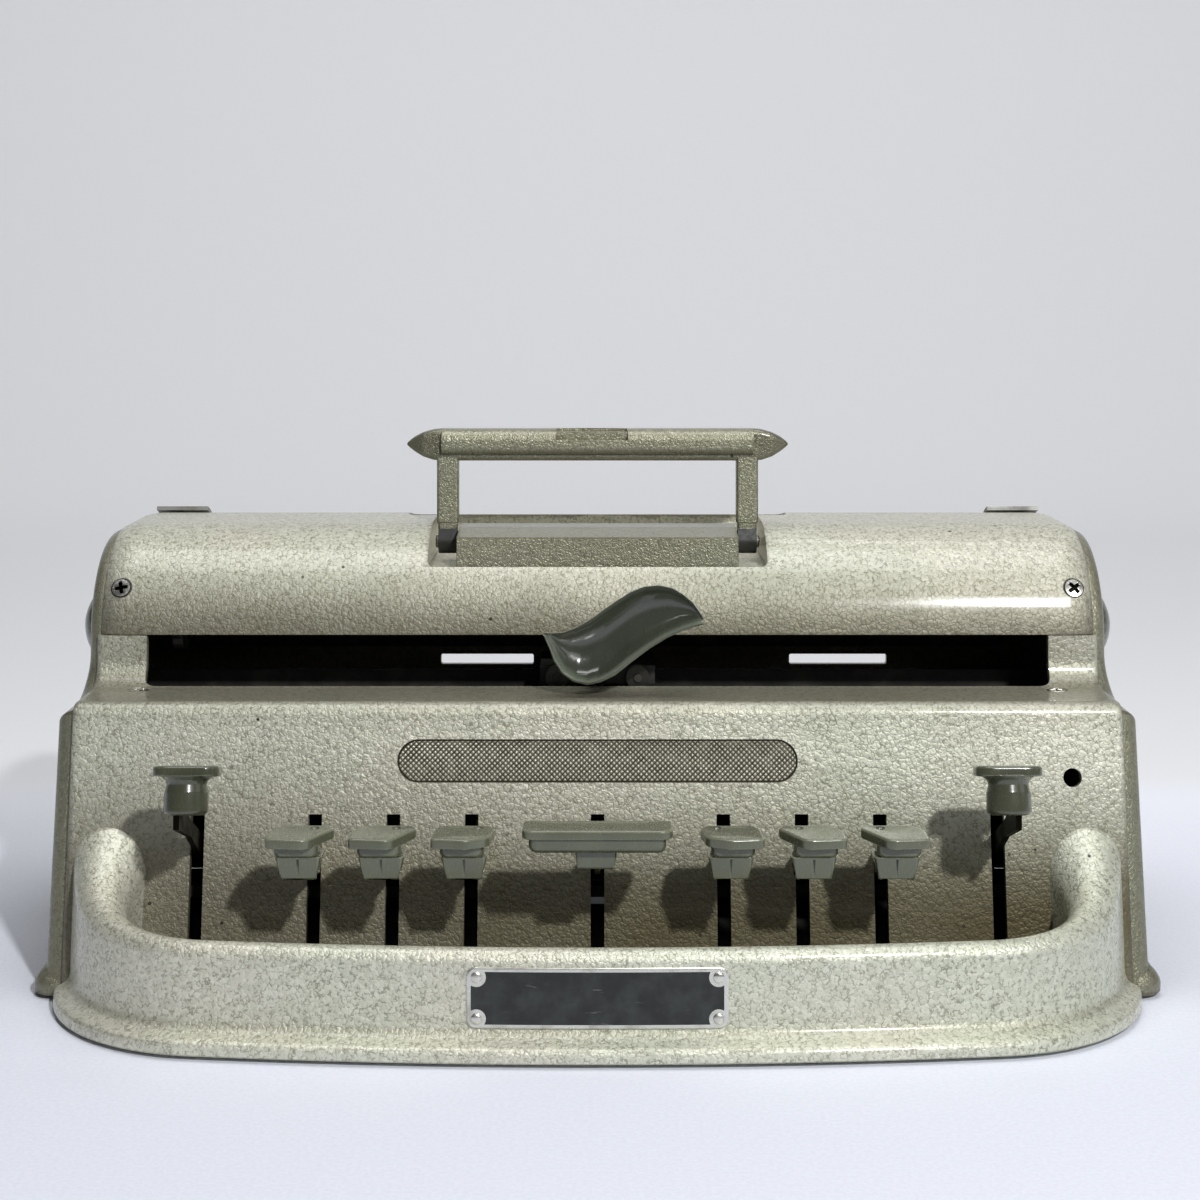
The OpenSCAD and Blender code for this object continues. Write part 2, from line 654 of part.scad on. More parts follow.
// ---- Carriage: embossing head above the paper, pins below it ----
head_x = 15;
stud_r = 2.5;
lever_y = [cover_y - 16, cover_y - 11.5];       // hub of the carriage lever, in depth
lever_z = ledge_z + 13.2;
block_x = carriage_w / 2;
block_z = [ledge_z - 0.5, ledge_z + 6.2];
wheel_y = [cover_y - 2.9, cover_y + 2.1];
wheel_x = 15;
front_rail_z = ledge_z - 1.8;
axle_z = front_rail_z + wheel_r + 0.2;
pin_r = 0.8;
module embossing_head() {
    color(black) difference() {
        union() {
            block(-head_x, head_x, head_y - 12, head_y + 12, head_z - 12, head_z + 7);
            block(-6, 6, lever_y[1] + 1.5, head_y - 11.5, head_z - 12, head_z - 6);
            block(-2, 2, head_y + 11, head_y + 17, head_z + 3, head_z + 6);
            rod_y(stud_r, lever_y[0] - 0.5, lever_y[1] + 2, 0, lever_z);
        }
        rod_x(rail_r + fit, -head_x - 1, head_x + 1, head_y, head_z);
    }
}
// The lever's lower and upper edges, from its hub, then one ring across it
spoon_low = [[-20.9, 6.5], [-18, -2.5], [-11.8, -9.2], [-2.7, -10.9], [6.4, -8.1],
    [15.5, -1.5], [24.6, 6.5], [31.9, 10.1], [39.1, 12.3]];
spoon_high = [[-16.6, 7.5], [-10, 9.5], [0.9, 16.3], [10, 22.8], [19.1, 26.1],
    [28.2, 24.6], [34.4, 19.2], [37.3, 13]];
function blend(list, t) = let (u = t * (len(list) - 1), k = min(floor(u), len(list) - 2))
    list[k] + (list[k + 1] - list[k]) * (u - k);
function spoon_y(t) = lever_y[0] - 4.5 - 4 * sin(180 * t);
function spoon_ring(t) = let (a = blend(spoon_low, t), b = blend(spoon_high, t),
        y = spoon_y(t), z = lever_z, m = (a + b) / 2)
    flip([[a[0], y, z + a[1]], [m[0], y + 2.6, z + m[1]], [b[0], y + 1, z + b[1]],
        [b[0], y + 3, z + b[1]], [m[0], y + 4.8, z + m[1]], [a[0], y + 2, z + a[1]]]);
module carriage_lever() {
    color(plastic) difference() {
        union() {
            skin_over([for (k = [0:16]) spoon_ring(k / 16)]);
            rod_y(stud_r + 2.5, lever_y[0] - 3, lever_y[1], 0, lever_z);
        }
        rod_y(stud_r + fit, lever_y[0] - 1, lever_y[1] + 1, 0, lever_z);
    }
}
module pin_block() {
    color(steel) difference() {
        union() {
            block(-block_x, block_x, wheel_y[1] + 0.7, head_y + 11.5, block_z[0], block_z[1]);
            block(-6, 6, head_y + 11, rear_rail_y + 7, block_z[0], block_z[0] + 3.6);
            block(-10, 10, rear_rail_y - 7, rear_rail_y + 7, rear_rail_z - 5,
                block_z[0] + 3.6);
            for (s = [-1, 1]) rod_y(1.5, wheel_y[0] - 0.8, wheel_y[1] + 1, s * wheel_x, axle_z);
        }
        rod_x(rear_rail_r + fit, -11, 11, rear_rail_y, rear_rail_z);
        for (p = pin_at) translate([p[0], p[1], block_z[0] - 1])
            cylinder(r = pin_r + fit, h = block_z[1] - block_z[0] + 2, $fn = 24);
    }
}
module wheel(x) {
    color(plastic) difference() {
        rod_y(wheel_r, wheel_y[0], wheel_y[1], x, axle_z);
        rod_y(1.5 + fit, wheel_y[0] - 1, wheel_y[1] + 1, x, axle_z);
    }
}
module left_wheel() { wheel(-wheel_x); }
module right_wheel() { wheel(wheel_x); }
pin_at = [for (x = [-1.25, 1.25]) for (y = [-2.5, 0, 2.5]) [x, head_y - 4 + y]];
module embossing_pins() {
    color(steel) for (p = pin_at) translate([p[0], p[1], 0]) {
        translate([0, 0, block_z[0] - 6.8])
            cylinder(r = pin_r, h = block_z[1] - block_z[0] + 7.3, $fn = 24);
        translate([0, 0, block_z[1] + 0.5]) cylinder(r1 = pin_r, r2 = 0.3, h = 0.5, $fn = 24);
    }
}

// ---- Rails and inner works ----
wall_x = inner_x - 0.1;
module front_rail() {
    color(steel) block(-wall_x, wall_x, wheel_y[0] - 0.5, wheel_y[1] + 0.5,
        front_rail_z - 6, front_rail_z);
}
module rear_rail() {
    color(steel) rod_x(rear_rail_r, -rod_end, rod_end, rear_rail_y, rear_rail_z);
}
module head_rail() {
    color(steel) rod_x(rail_r, -rod_end, rod_end, head_y, head_z);
}
module escapement_rack() {
    n = floor((wall_x - 12.9) / rack_pitch);
    color(steel) translate([0, head_y + 17, head_z]) rotate([90, 0, 0]) linear_extrude(3)
        polygon(concat(
            [[-wall_x, -6], [wall_x, -6], [wall_x, 0]],
            [for (k = [n:-1:-n]) for (t = [[0.45, 0], [0, 2], [-0.05, 2]])
                [(k + t[0]) * rack_pitch, t[1]]],
            [[-wall_x, 0]]));
}
drum_y = back_y - 30;
module spring_drum() {
    color(steel) difference() {
        union() {
            rod_y(drum_r, drum_y, drum_y + 10, drum_x, drum_z);
            rod_y(7, drum_y - 2, back_y - skin_t - 6.3, drum_x, drum_z);
        }
        rod_y(drum_stud_r + fit, drum_y - 5, back_y, drum_x, drum_z);
        difference() {
            rod_y(drum_r - 2, drum_y - 1, drum_y + 2, drum_x, drum_z);
            rod_y(7, drum_y - 3, drum_y + 5, drum_x, drum_z);
        }
    }
}
module paper_guide() {
    color(steel) block(-wall_x, wall_x, head_y + 14, head_y + 16, key_z + 16, ledge_z - 1.3);
}
module margin_rod() {
    color(steel) rod_x(margin_r, -rod_end, rod_end, margin_y, margin_z);
}
module margin_stop(x) {
    color(black) difference() {
        union() {
            rod_x(6, x - 6, x + 6, margin_y, margin_z);
            block(x - 3, x + 3, margin_y, back_y + 2, margin_z - 2.5, margin_z + 2.5);
            block(x - 6, x + 6, back_y + 0.5, body_d / 2, margin_z - 5, margin_z + 5);
        }
        rod_x(margin_r + fit, x - 8, x + 8, margin_y, margin_z);
    }
}
stop_x = inner_x - 43;
module left_margin_stop() { margin_stop(-stop_x); }
module right_margin_stop() { margin_stop(stop_x); }

// ---- Keys ----
stop_z = key_z - 8.6;
module key_shaft() {
    color(steel) rod_x(key_shaft_r, -rod_end, rod_end, key_y, key_z);
}
module shaft_brackets() {
    color(black) both_sides() for (x = [key_gap / 2, key_gap + 2 * key_pitch + 22]) difference() {
        union() {
            between(x - 1.5, x + 1.5) polygon([[key_y - 12, floor_z], [key_y - 6, key_z],
                [key_y + 6, key_z], [key_y + 12, floor_z]]);
            rod_x(6, x - 1.5, x + 1.5, key_y, key_z);
            block(x - 1.5, x + 8, key_y - 12, key_y + 12, floor_z, floor_z + 2);
        }
        rod_x(key_shaft_r + 0.05, x - 3, x + 3, key_y, key_z);
    }
}
module stop_bar() {
    color(steel) block(-wall_x, wall_x, key_y - 20, key_y - 14, stop_z - 4, stop_z);
}
hub_r = 7;
spring_gap = 0.8;
spring_turns = 5;
wire_r = 0.75;
lever_xs = concat([-end_key_x], [for (k = [2:-1:0]) -key_gap - k * key_pitch], [0],
    [for (k = [0:2]) key_gap + k * key_pitch], [end_key_x]);
module key_springs() {
    w = 2 * wire_r;
    color(steel) for (x = lever_xs) translate([x + lever_t / 2 + spring_gap, key_y, key_z]) {
        rotate([0, 90, 0]) rotate_extrude($fn = 24) translate([key_shaft_r + 0.2, 0]) polygon(concat(
            [[0, 0]],
            [for (k = [0:spring_turns - 1]) for (t = [[0.5, 0], [w, 0.25], [w, 0.75], [0.5, 1]])
                [t[0], (k + t[1]) * w]],
            [[0, spring_turns * w]]));
        translate([w / 2, 0, -key_shaft_r - 1]) rotate([103.2, 0, 0])
            cylinder(r = 0.6, h = 15, $fn = 16);
    }
}

// A key lever seen from the side, from its shaft; tail is where the rear arm turns up
module lever_outline(front, tail, rise) {
    translate([key_y, key_z]) polygon(concat(front, [[-8, -8], [0, -hub_r]],
        rise > 0
            ? [[12, -6.5], [tail - 3, -6], [tail + 1, -6], [tail + 1, rise], [tail - 1, rise],
                [tail - 1, 0]]
            : [[12, -6.5], [tail, -6], [tail, 0]],
        [[12, 1], [0, hub_r]]));
}
module key_lever(x, front, tail, rise) {
    difference() {
        union() {
            between(x - lever_t / 2, x + lever_t / 2) lever_outline(front, tail, rise);
            rod_x(hub_r, x - lever_t / 2, x + lever_t / 2, key_y, key_z);
            if (rise > 0) block(-bar_x, bar_x, key_y + tail - 1, key_y + tail + 1,
                key_z + rise - 5, key_z + rise);
        }
        rod_x(key_shaft_r + fit, x - lever_t, x + lever_t, key_y, key_z);
    }
}
bar_x = end_key_x - 5;
bar_rise = 13;
bar_y0 = 18;
bar_pitch = 5;
cap_y = key_y - 66;                             // middle of the dot keys' caps
tip_y = [-71, -61];                             // the part of a lever inside its cap
dot_tip = [cap_z - 12.8, cap_z - 6.4];
space_tip = [space_z - 14.5, space_z - 7.5];
end_tip = [end_cap_z - 21, end_cap_z - 15];
// The front arm of a lever that ends in a cap, from the shaft; drop is its slope's bend
function front_arm(tip, y0, y1, bend) = let (z0 = tip[0] - key_z, z1 = tip[1] - key_z)
    [[-13, 5], [-48, z1 - bend], [y1, z1], [y0, z1], [y0, z0], [-48, z0 - 7.6]];
dot_front = front_arm(dot_tip, tip_y[0], tip_y[1], 3);
space_front = front_arm(space_tip, tip_y[0], tip_y[1], 4);
end_front = front_arm(end_tip, tip_y[0] + 2, tip_y[1] + 1, 8);
module dot_lever(n) {
    // Dots 1 to 3 run outwards on the left, 4 to 6 outwards on the right
    x = (n < 4 ? -1 : 1) * (key_gap + ((n - 1) % 3) * key_pitch);
    color([0.75, 0.72, 0.42]) key_lever(x, dot_front, bar_y0 + (n - 1) * bar_pitch, bar_rise);
}
module dot_1_lever() { dot_lever(1); }
module dot_2_lever() { dot_lever(2); }
module dot_3_lever() { dot_lever(3); }
module dot_4_lever() { dot_lever(4); }
module dot_5_lever() { dot_lever(5); }
module dot_6_lever() { dot_lever(6); }
module space_lever() { color([0.75, 0.72, 0.42]) key_lever(0, space_front, 16, 0); }
module line_lever() { color([0.75, 0.72, 0.42]) key_lever(-end_key_x, end_front, 32, 0); }
module backspace_lever() { color([0.75, 0.72, 0.42]) key_lever(end_key_x, end_front, 32, 0); }

// The key caps grip their levers in a slit
slit = lever_t / 2 + 0.1;
slit_y = key_y + tip_y[0] - 0.1;
module cap_plan(s) {
    // A leaf that leans outwards at its back corner
    w = cap_w / 2;
    d = cap_d / 2;
    scale([s, s]) polygon([[-w, -d + 3], [-w + 1.5, -d + 0.6], [-w + 5, -d],
        [w - 8, -d], [w - 4, -d + 2], [w, d - 4], [w - 0.6, d - 0.8], [w - 3, d],
        [-w + 9, d], [-w + 6, d - 1.5], [-w + 0.6, -d + 7]]);
}
module dot_cap(n) {
    side = n < 4 ? -1 : 1;
    x = side * (key_gap + ((n - 1) % 3) * key_pitch);
    color(plastic) difference() {
        translate([x, cap_y, 0]) scale([-side, 1, 1]) {
            translate([0, 0, cap_z - 3.6]) linear_extrude(3.6) cap_plan(1);
            translate([0, 0.5, cap_z - 7.2]) linear_extrude(3.6) cap_plan(0.82);
            translate([-6, -6.5, cap_z - 12.8]) cube([13, 13, 6]);
        }
        block(x - slit, x + slit, slit_y, cap_y + 18, cap_z - 14, dot_tip[1] + 0.2);
        block(x - slit, x + slit, cap_y - 12, cap_y + 18, cap_z - 14, cap_z - 7.2);
    }
}
module dot_1_cap() { dot_cap(1); }
module dot_2_cap() { dot_cap(2); }
module dot_3_cap() { dot_cap(3); }
module dot_4_cap() { dot_cap(4); }
module dot_5_cap() { dot_cap(5); }
module dot_6_cap() { dot_cap(6); }
module space_cap() {
    w = space_w / 2;
    color(plastic) difference() {
        union() {
            translate([0, 0, space_z - 3]) linear_extrude(3)
                round_rect(-w, w, cap_y - 14, cap_y - 1, 3);
            translate([0, 0, space_z - 8]) linear_extrude(5.2)
                round_rect(-w + 2.2, w - 2.2, cap_y - 13, cap_y - 1.5, 4);
            block(-7, 7, cap_y - 8, cap_y + 6, space_z - 14.5, space_z - 7);
        }
        block(-slit, slit, slit_y, cap_y + 18, space_z - 16, space_tip[1] + 0.2);
        block(-slit, slit, cap_y - 16, cap_y + 18, space_z - 16, space_z - 8);
    }
}
module end_cap(x) {
    color(plastic) difference() {
        translate([x, cap_y, end_cap_z - 8]) rotate([-12, 0, 0]) union() {
            translate([0, 0, 4]) linear_extrude(3.6) round_rect(-11, 11, -7, 7, 5);
            translate([0, 0, -8.5]) cylinder(r1 = 7.4, r2 = 7.2, h = 10);
            translate([0, 0, 1.4]) cylinder(r1 = 7.2, r2 = 8.6, h = 2.7);
        }
        block(sign(x) * end_key_x - slit, sign(x) * end_key_x + slit, slit_y + 2, cap_y + 18,
            end_tip[0] - 8, end_tip[1] + 0.2);
    }
}
module line_cap() { end_cap(3 - end_key_x); }
module backspace_cap() { end_cap(end_key_x - 3); }

front_cowl();
bottom_pan();
left_side_plate();
right_side_plate();
front_panel();
top_cover();
rear_panel();
rubber_feet();
data_plate();
plate_rivets();
case_screws();
handle_grip();
handle_legs();
handle_bracket();
feed_shaft();
feed_roller();
left_feed_knob();
right_feed_knob();
line_ratchet();
shaft_bushes();
pressure_rollers();
left_release_lever();
right_release_lever();
embossing_head();
carriage_lever();
pin_block();
left_wheel();
right_wheel();
embossing_pins();
front_rail();
rear_rail();
head_rail();
escapement_rack();
spring_drum();
paper_guide();
margin_rod();
left_margin_stop();
right_margin_stop();
key_shaft();
shaft_brackets();
stop_bar();
key_springs();
dot_1_lever();
dot_2_lever();
dot_3_lever();
dot_4_lever();
dot_5_lever();
dot_6_lever();
space_lever();
line_lever();
backspace_lever();
dot_1_cap();
dot_2_cap();
dot_3_cap();
dot_4_cap();
dot_5_cap();
dot_6_cap();
space_cap();
line_cap();
backspace_cap();
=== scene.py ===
"""Looks of a manual braille writer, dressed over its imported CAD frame.

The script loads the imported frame, replaces the visible case, handle and key caps with smooth
pieces computed from the same dimensions, gives every solid a procedural finish, and sets a
plain studio round it. Each sub-assembly is a class, each finish a small frozen dataclass.

Dimensions are in millimetres until a mesh is made; Blender's objects are in metres, +X to the
user's right, +Y to the back, +Z up.
"""

import logging
import math
from contextlib import contextmanager
from dataclasses import dataclass
from enum import Enum
from typing import Callable, ClassVar, Iterable, Iterator, NamedTuple, Sequence

import bmesh
import bpy
import numpy as np
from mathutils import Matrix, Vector


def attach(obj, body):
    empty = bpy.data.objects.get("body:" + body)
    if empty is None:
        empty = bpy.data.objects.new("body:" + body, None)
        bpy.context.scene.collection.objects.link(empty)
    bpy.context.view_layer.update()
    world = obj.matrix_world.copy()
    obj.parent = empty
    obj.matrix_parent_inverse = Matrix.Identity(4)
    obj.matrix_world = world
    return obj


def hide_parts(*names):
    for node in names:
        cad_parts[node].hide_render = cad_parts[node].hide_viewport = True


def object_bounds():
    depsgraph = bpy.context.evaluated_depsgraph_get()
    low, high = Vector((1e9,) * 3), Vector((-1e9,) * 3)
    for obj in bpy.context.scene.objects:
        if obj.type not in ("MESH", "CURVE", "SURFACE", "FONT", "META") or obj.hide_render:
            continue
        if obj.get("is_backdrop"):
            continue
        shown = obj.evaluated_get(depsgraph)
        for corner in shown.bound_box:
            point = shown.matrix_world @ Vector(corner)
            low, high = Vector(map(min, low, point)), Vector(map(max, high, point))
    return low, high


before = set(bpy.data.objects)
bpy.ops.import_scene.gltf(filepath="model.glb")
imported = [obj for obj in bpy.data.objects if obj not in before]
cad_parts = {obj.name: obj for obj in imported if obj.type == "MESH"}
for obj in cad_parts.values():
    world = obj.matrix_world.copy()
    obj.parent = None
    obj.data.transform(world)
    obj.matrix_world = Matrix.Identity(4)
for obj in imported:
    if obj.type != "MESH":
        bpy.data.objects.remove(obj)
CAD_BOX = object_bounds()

LOG = logging.getLogger("braille_writer")
MM = 0.001
Array = np.ndarray
Points = Sequence[Sequence[float]] | np.ndarray


# ---- Dimensions shared with the CAD source, in millimetres ---------------------------------------
@dataclass(frozen=True)
class CaseSize:
    """The case's main dimensions. Y is depth, Z is height.

    Attributes:
        half_w: Half the width over the end castings.
        front_y: Depth of the palm rest's front.
        back_y: Depth of the rear wall.
        body_h: Height of the cover.
        ledge_z: Height of the paper ledge.
        floor_z: Height at which the panels end.
        foot_t: Height of the castings' lower edge.
        skin: Thickness of the walls.
        panel_y: Depth of the key panel's foot.
        cover_r: Radius of the cover's front.
        shoulder_r: Radius of the shoulder between panel and ledge.
        fillet_r: Radius of the hollow between ledge and cover.
        rear_r: Radius of the cover's back.
        rear_seam_z: Height of the seam between cover and rear wall.
        panel_x: Half the key panel's width.
        cover_x: Half the cover's width.
        slot_h: Height of the paper slot.
        slot_x: Half the slot's width.
        end_screw_x: Place across of the cover's and the rear wall's screws.
        rear_screw_z: Height of the rear wall's screws.
        ledge_screw_x: Place across of the ledge's screws.
        feed_y: Depth of the feed shaft.
        feed_z: Height of the feed shaft.
        name_w: Width of the name recess.
        name_h: Height of the name recess.
        name_z: Height of its middle.
    """

    half_w: float = 191.0
    front_y: float = -114.5
    back_y: float = 110.0
    body_h: float = 157.0
    ledge_z: float = 101.3
    floor_z: float = 3.5
    foot_t: float = 1.5
    skin: float = 3.5
    panel_y: float = -52.2
    cover_r: float = 41.0
    shoulder_r: float = 5.0
    fillet_r: float = 9.0
    rear_r: float = 35.0
    rear_seam_z: float = 118.0
    panel_x: float = 187.0
    cover_x: float = 186.0
    slot_h: float = 18.2
    slot_x: float = 168.4
    end_screw_x: float = 179.2
    rear_screw_z: float = 60.0
    ledge_screw_x: float = 168.8
    feed_y: float = 56.445
    feed_z: float = 115.0
    name_w: float = 142.0
    name_h: float = 15.0
    name_z: float = 81.5

    @property
    def tilt(self) -> float:
        """Angle in radians by which the key panel leans back: 10 degrees."""
        return math.radians(10.0)

    @property
    def lean(self) -> float:
        """Depth gained for each millimetre of height on the key panel."""
        return math.tan(self.tilt)

    @property
    def shoulder_y(self) -> float:
        """Depth at which the key panel would meet the ledge."""
        return self.panel_y + (self.ledge_z - self.floor_z) * self.lean

    @property
    def cover_y(self) -> float:
        """Depth of the front of the top cover."""
        return self.shoulder_y + 36.9

    @property
    def cover_low_z(self) -> float:
        """Height of the lower edge of the cover's front."""
        return self.ledge_z + self.slot_h

    @property
    def cover_axis(self) -> Array:
        """Centre of the cover's front curve, at x = 0."""
        return np.array([0, self.cover_y + self.cover_r, self.body_h - self.cover_r])

    @property
    def cover_screw(self) -> Array:
        """Unit direction in which the cover's two front screws face, from its curve's centre."""
        a = math.radians(150.3)
        return np.array([0, math.cos(a), math.sin(a)])

    def face(self, z: Array | float) -> Array | float:
        """Depth of the key panel's outer face.

        Args:
            z: Heights in millimetres.

        Returns:
            The depth at each height.
        """
        return self.panel_y + (z - self.floor_z) * self.lean


SIZE = CaseSize()


# ---- Plane curves: arrays of (n, 2) points in millimetres ----------------------------------------
def arc(cy: float, cz: float, r: float, a0: float, a1: float, n: int = 24) -> Array:
    """Points on a circle, counted from angle a0 to angle a1.

    Args:
        cy: First coordinate of the centre.
        cz: Second coordinate of the centre.
        r: Radius.
        a0: Start angle in degrees.
        a1: End angle in degrees.
        n: Number of steps.

    Returns:
        An (n + 1, 2) array: centre plus r times (cos a, sin a).
    """
    a = np.radians(np.linspace(a0, a1, n + 1))
    return np.stack([cy + r * np.cos(a), cz + r * np.sin(a)], axis=1)


def shoulder_line(i: float, n: int = 10) -> Array:
    """The rounded shoulder, flat ledge and concave fillet of the case, moved inwards by i.

    Args:
        i: Inset from the outer surface.
        n: Steps in each arc.

    Returns:
        An array of (depth, height) points from the key panel up to the cover's front.
    """
    r = max(SIZE.shoulder_r, i + 0.5)
    centre = SIZE.shoulder_y + r * (1 / math.cos(SIZE.tilt) - SIZE.lean)
    fillet = SIZE.fillet_r
    return np.concatenate([arc(centre, SIZE.ledge_z - r, r - i, 170, 90, n),
        arc(SIZE.cover_y - fillet, SIZE.ledge_z + fillet, fillet + i, 270, 360, n)])


def face_foot(i: float, z: float) -> Array:
    """The foot of the key panel at height z, moved inwards by i, as one (depth, height) row."""
    return np.array([[SIZE.face(z) + i / math.cos(SIZE.tilt), z]])


def rear_arc(i: float, n: int = 14, a0: float = 90, a1: float = 0) -> Array:
    """The rear curve of the cover, moved inwards by i, from angle a0 to angle a1 in degrees."""
    r = SIZE.rear_r
    return arc(SIZE.back_y - r, SIZE.body_h - r, r - i, a0, a1, n)


def cover_front(i: float, low_z: float) -> Array:
    """The front curve of the cover from height low_z to the top, moved inwards by i."""
    _, cy, cz = SIZE.cover_axis
    r = SIZE.cover_r - i
    low = 180 - math.degrees(math.asin(max(low_z - cz, 0.0) / r))
    return arc(cy, cz, r, low, 90, 30)


def end_outline(i: float, z0: float) -> Array:
    """The whole side outline of the case, moved inwards by i and closed at height z0."""
    return np.concatenate([face_foot(i, z0), shoulder_line(i), cover_front(i, 0.0), rear_arc(i),
        [[SIZE.back_y - i, z0]]])


def rounded(corners: Points, radii: Sequence[float] | float, n: int) -> Array:
    """A closed polygon with its corners rounded by tangent arcs.

    At a corner p with unit directions u and v to its neighbours, the arc of radius r starts at
    p + u r / tan(h), where h is half the angle between u and v, and turns to p + v r / tan(h).

    Args:
        corners: Corner points, in order.
        radii: One radius for all corners, or one for each.
        n: Steps in each arc.

    Returns:
        An (m, 2) array of points, without a repeated first point.
    """
    p = np.asarray(corners, float)
    r = np.broadcast_to(np.asarray(radii, float), (len(p),))
    out = []
    for k in range(len(p)):
        u = p[k - 1] - p[k]
        v = p[(k + 1) % len(p)] - p[k]
        lu, lv = np.linalg.norm(u), np.linalg.norm(v)
        u, v = u / lu, v / lv
        half = 0.5 * math.acos(float(np.clip(u @ v, -1, 1)))
        if r[k] < 1e-6 or half > 1.56:
            out.append(p[k:k + 1])
            continue
        t = min(r[k] / math.tan(half), 0.49 * lu, 0.49 * lv)
        rr = t * math.tan(half)
        mid = (u + v) / np.linalg.norm(u + v)
        centre = p[k] + mid * rr / math.sin(half)
        a0 = math.atan2(*(p[k] + u * t - centre)[::-1])
        a1 = math.atan2(*(p[k] + v * t - centre)[::-1])
        turn = (a1 - a0 + math.pi) % (2 * math.pi) - math.pi
        a = a0 + turn * np.linspace(0, 1, n + 1)
        out.append(centre + rr * np.stack([np.cos(a), np.sin(a)], axis=1))
    return np.concatenate(out)


def stadium(w: float, h: float, n: int) -> Array:
    """A bar of width w and height h with round ends, centred on the origin."""
    x = (w - h) / 2
    return np.concatenate([arc(x, 0, h / 2, -90, 90, n), arc(-x, 0, h / 2, 90, 270, n)])


def resample(points: Array, n: int, closed: bool = True) -> Array:
    """Points spread evenly by length along a curve.

    Args:
        points: The curve's points.
        n: How many points to return.
        closed: Whether the curve runs back to its first point.

    Returns:
        An (n, k) array.
    """
    p = np.vstack([points, points[:1]]) if closed else np.asarray(points, float)
    s = np.concatenate([[0], np.cumsum(np.linalg.norm(np.diff(p, axis=0), axis=1))])
    t = np.linspace(0, s[-1], n + 1)[:-1] if closed else np.linspace(0, s[-1], n)
    return np.stack([np.interp(t, s, p[:, k]) for k in range(p.shape[1])], axis=1)


def smoothstep(x: Array, low: float, high: float) -> Array:
    """The cubic step 3t^2 - 2t^3 of x between low and high."""
    t = np.clip((x - low) / (high - low), 0, 1)
    return t * t * (3 - 2 * t)


# ---- Meshes --------------------------------------------------------------------------------------
def on_x(points: Array, x: float | Array) -> Array:
    """Side-view points (depth, height) placed at x, as (n, 3)."""
    x = np.broadcast_to(np.asarray(x, float), (len(points),))
    return np.stack([x, points[:, 0], points[:, 1]], axis=1)


def spin(profile: Array, steps: int, axis: Sequence[float], origin: Sequence[float]) -> Array:
    """A profile turned about an axis.

    A point at distance h along the axis and radius r goes to origin + h a + r (u cos t + v sin t),
    where a is the axis, u and v are square to it, and t runs once round.

    Args:
        profile: (n, 2) array of (h, r).
        steps: Steps round the axis.
        axis: Direction of the axis.
        origin: A point on the axis.

    Returns:
        An (n, steps, 3) grid.
    """
    a = np.asarray(axis, float) / np.linalg.norm(axis)
    u = np.cross(a, [0, 1, 0] if abs(a[1]) < 0.9 else [1, 0, 0])
    u /= np.linalg.norm(u)
    v = np.cross(a, u)
    t = np.linspace(0, 2 * np.pi, steps, endpoint=False)
    ring = np.cos(t)[:, None] * u + np.sin(t)[:, None] * v
    h, r = profile[:, 0], profile[:, 1]
    return np.asarray(origin, float) + h[:, None, None] * a + r[:, None, None] * ring[None]


@contextmanager
def edited(mesh: bpy.types.Mesh) -> Iterator[bmesh.types.BMesh]:
    """Opens a mesh for editing and writes it back at the end."""
    bm = bmesh.new()
    bm.from_mesh(mesh)
    yield bm
    bm.to_mesh(mesh)
    bm.free()


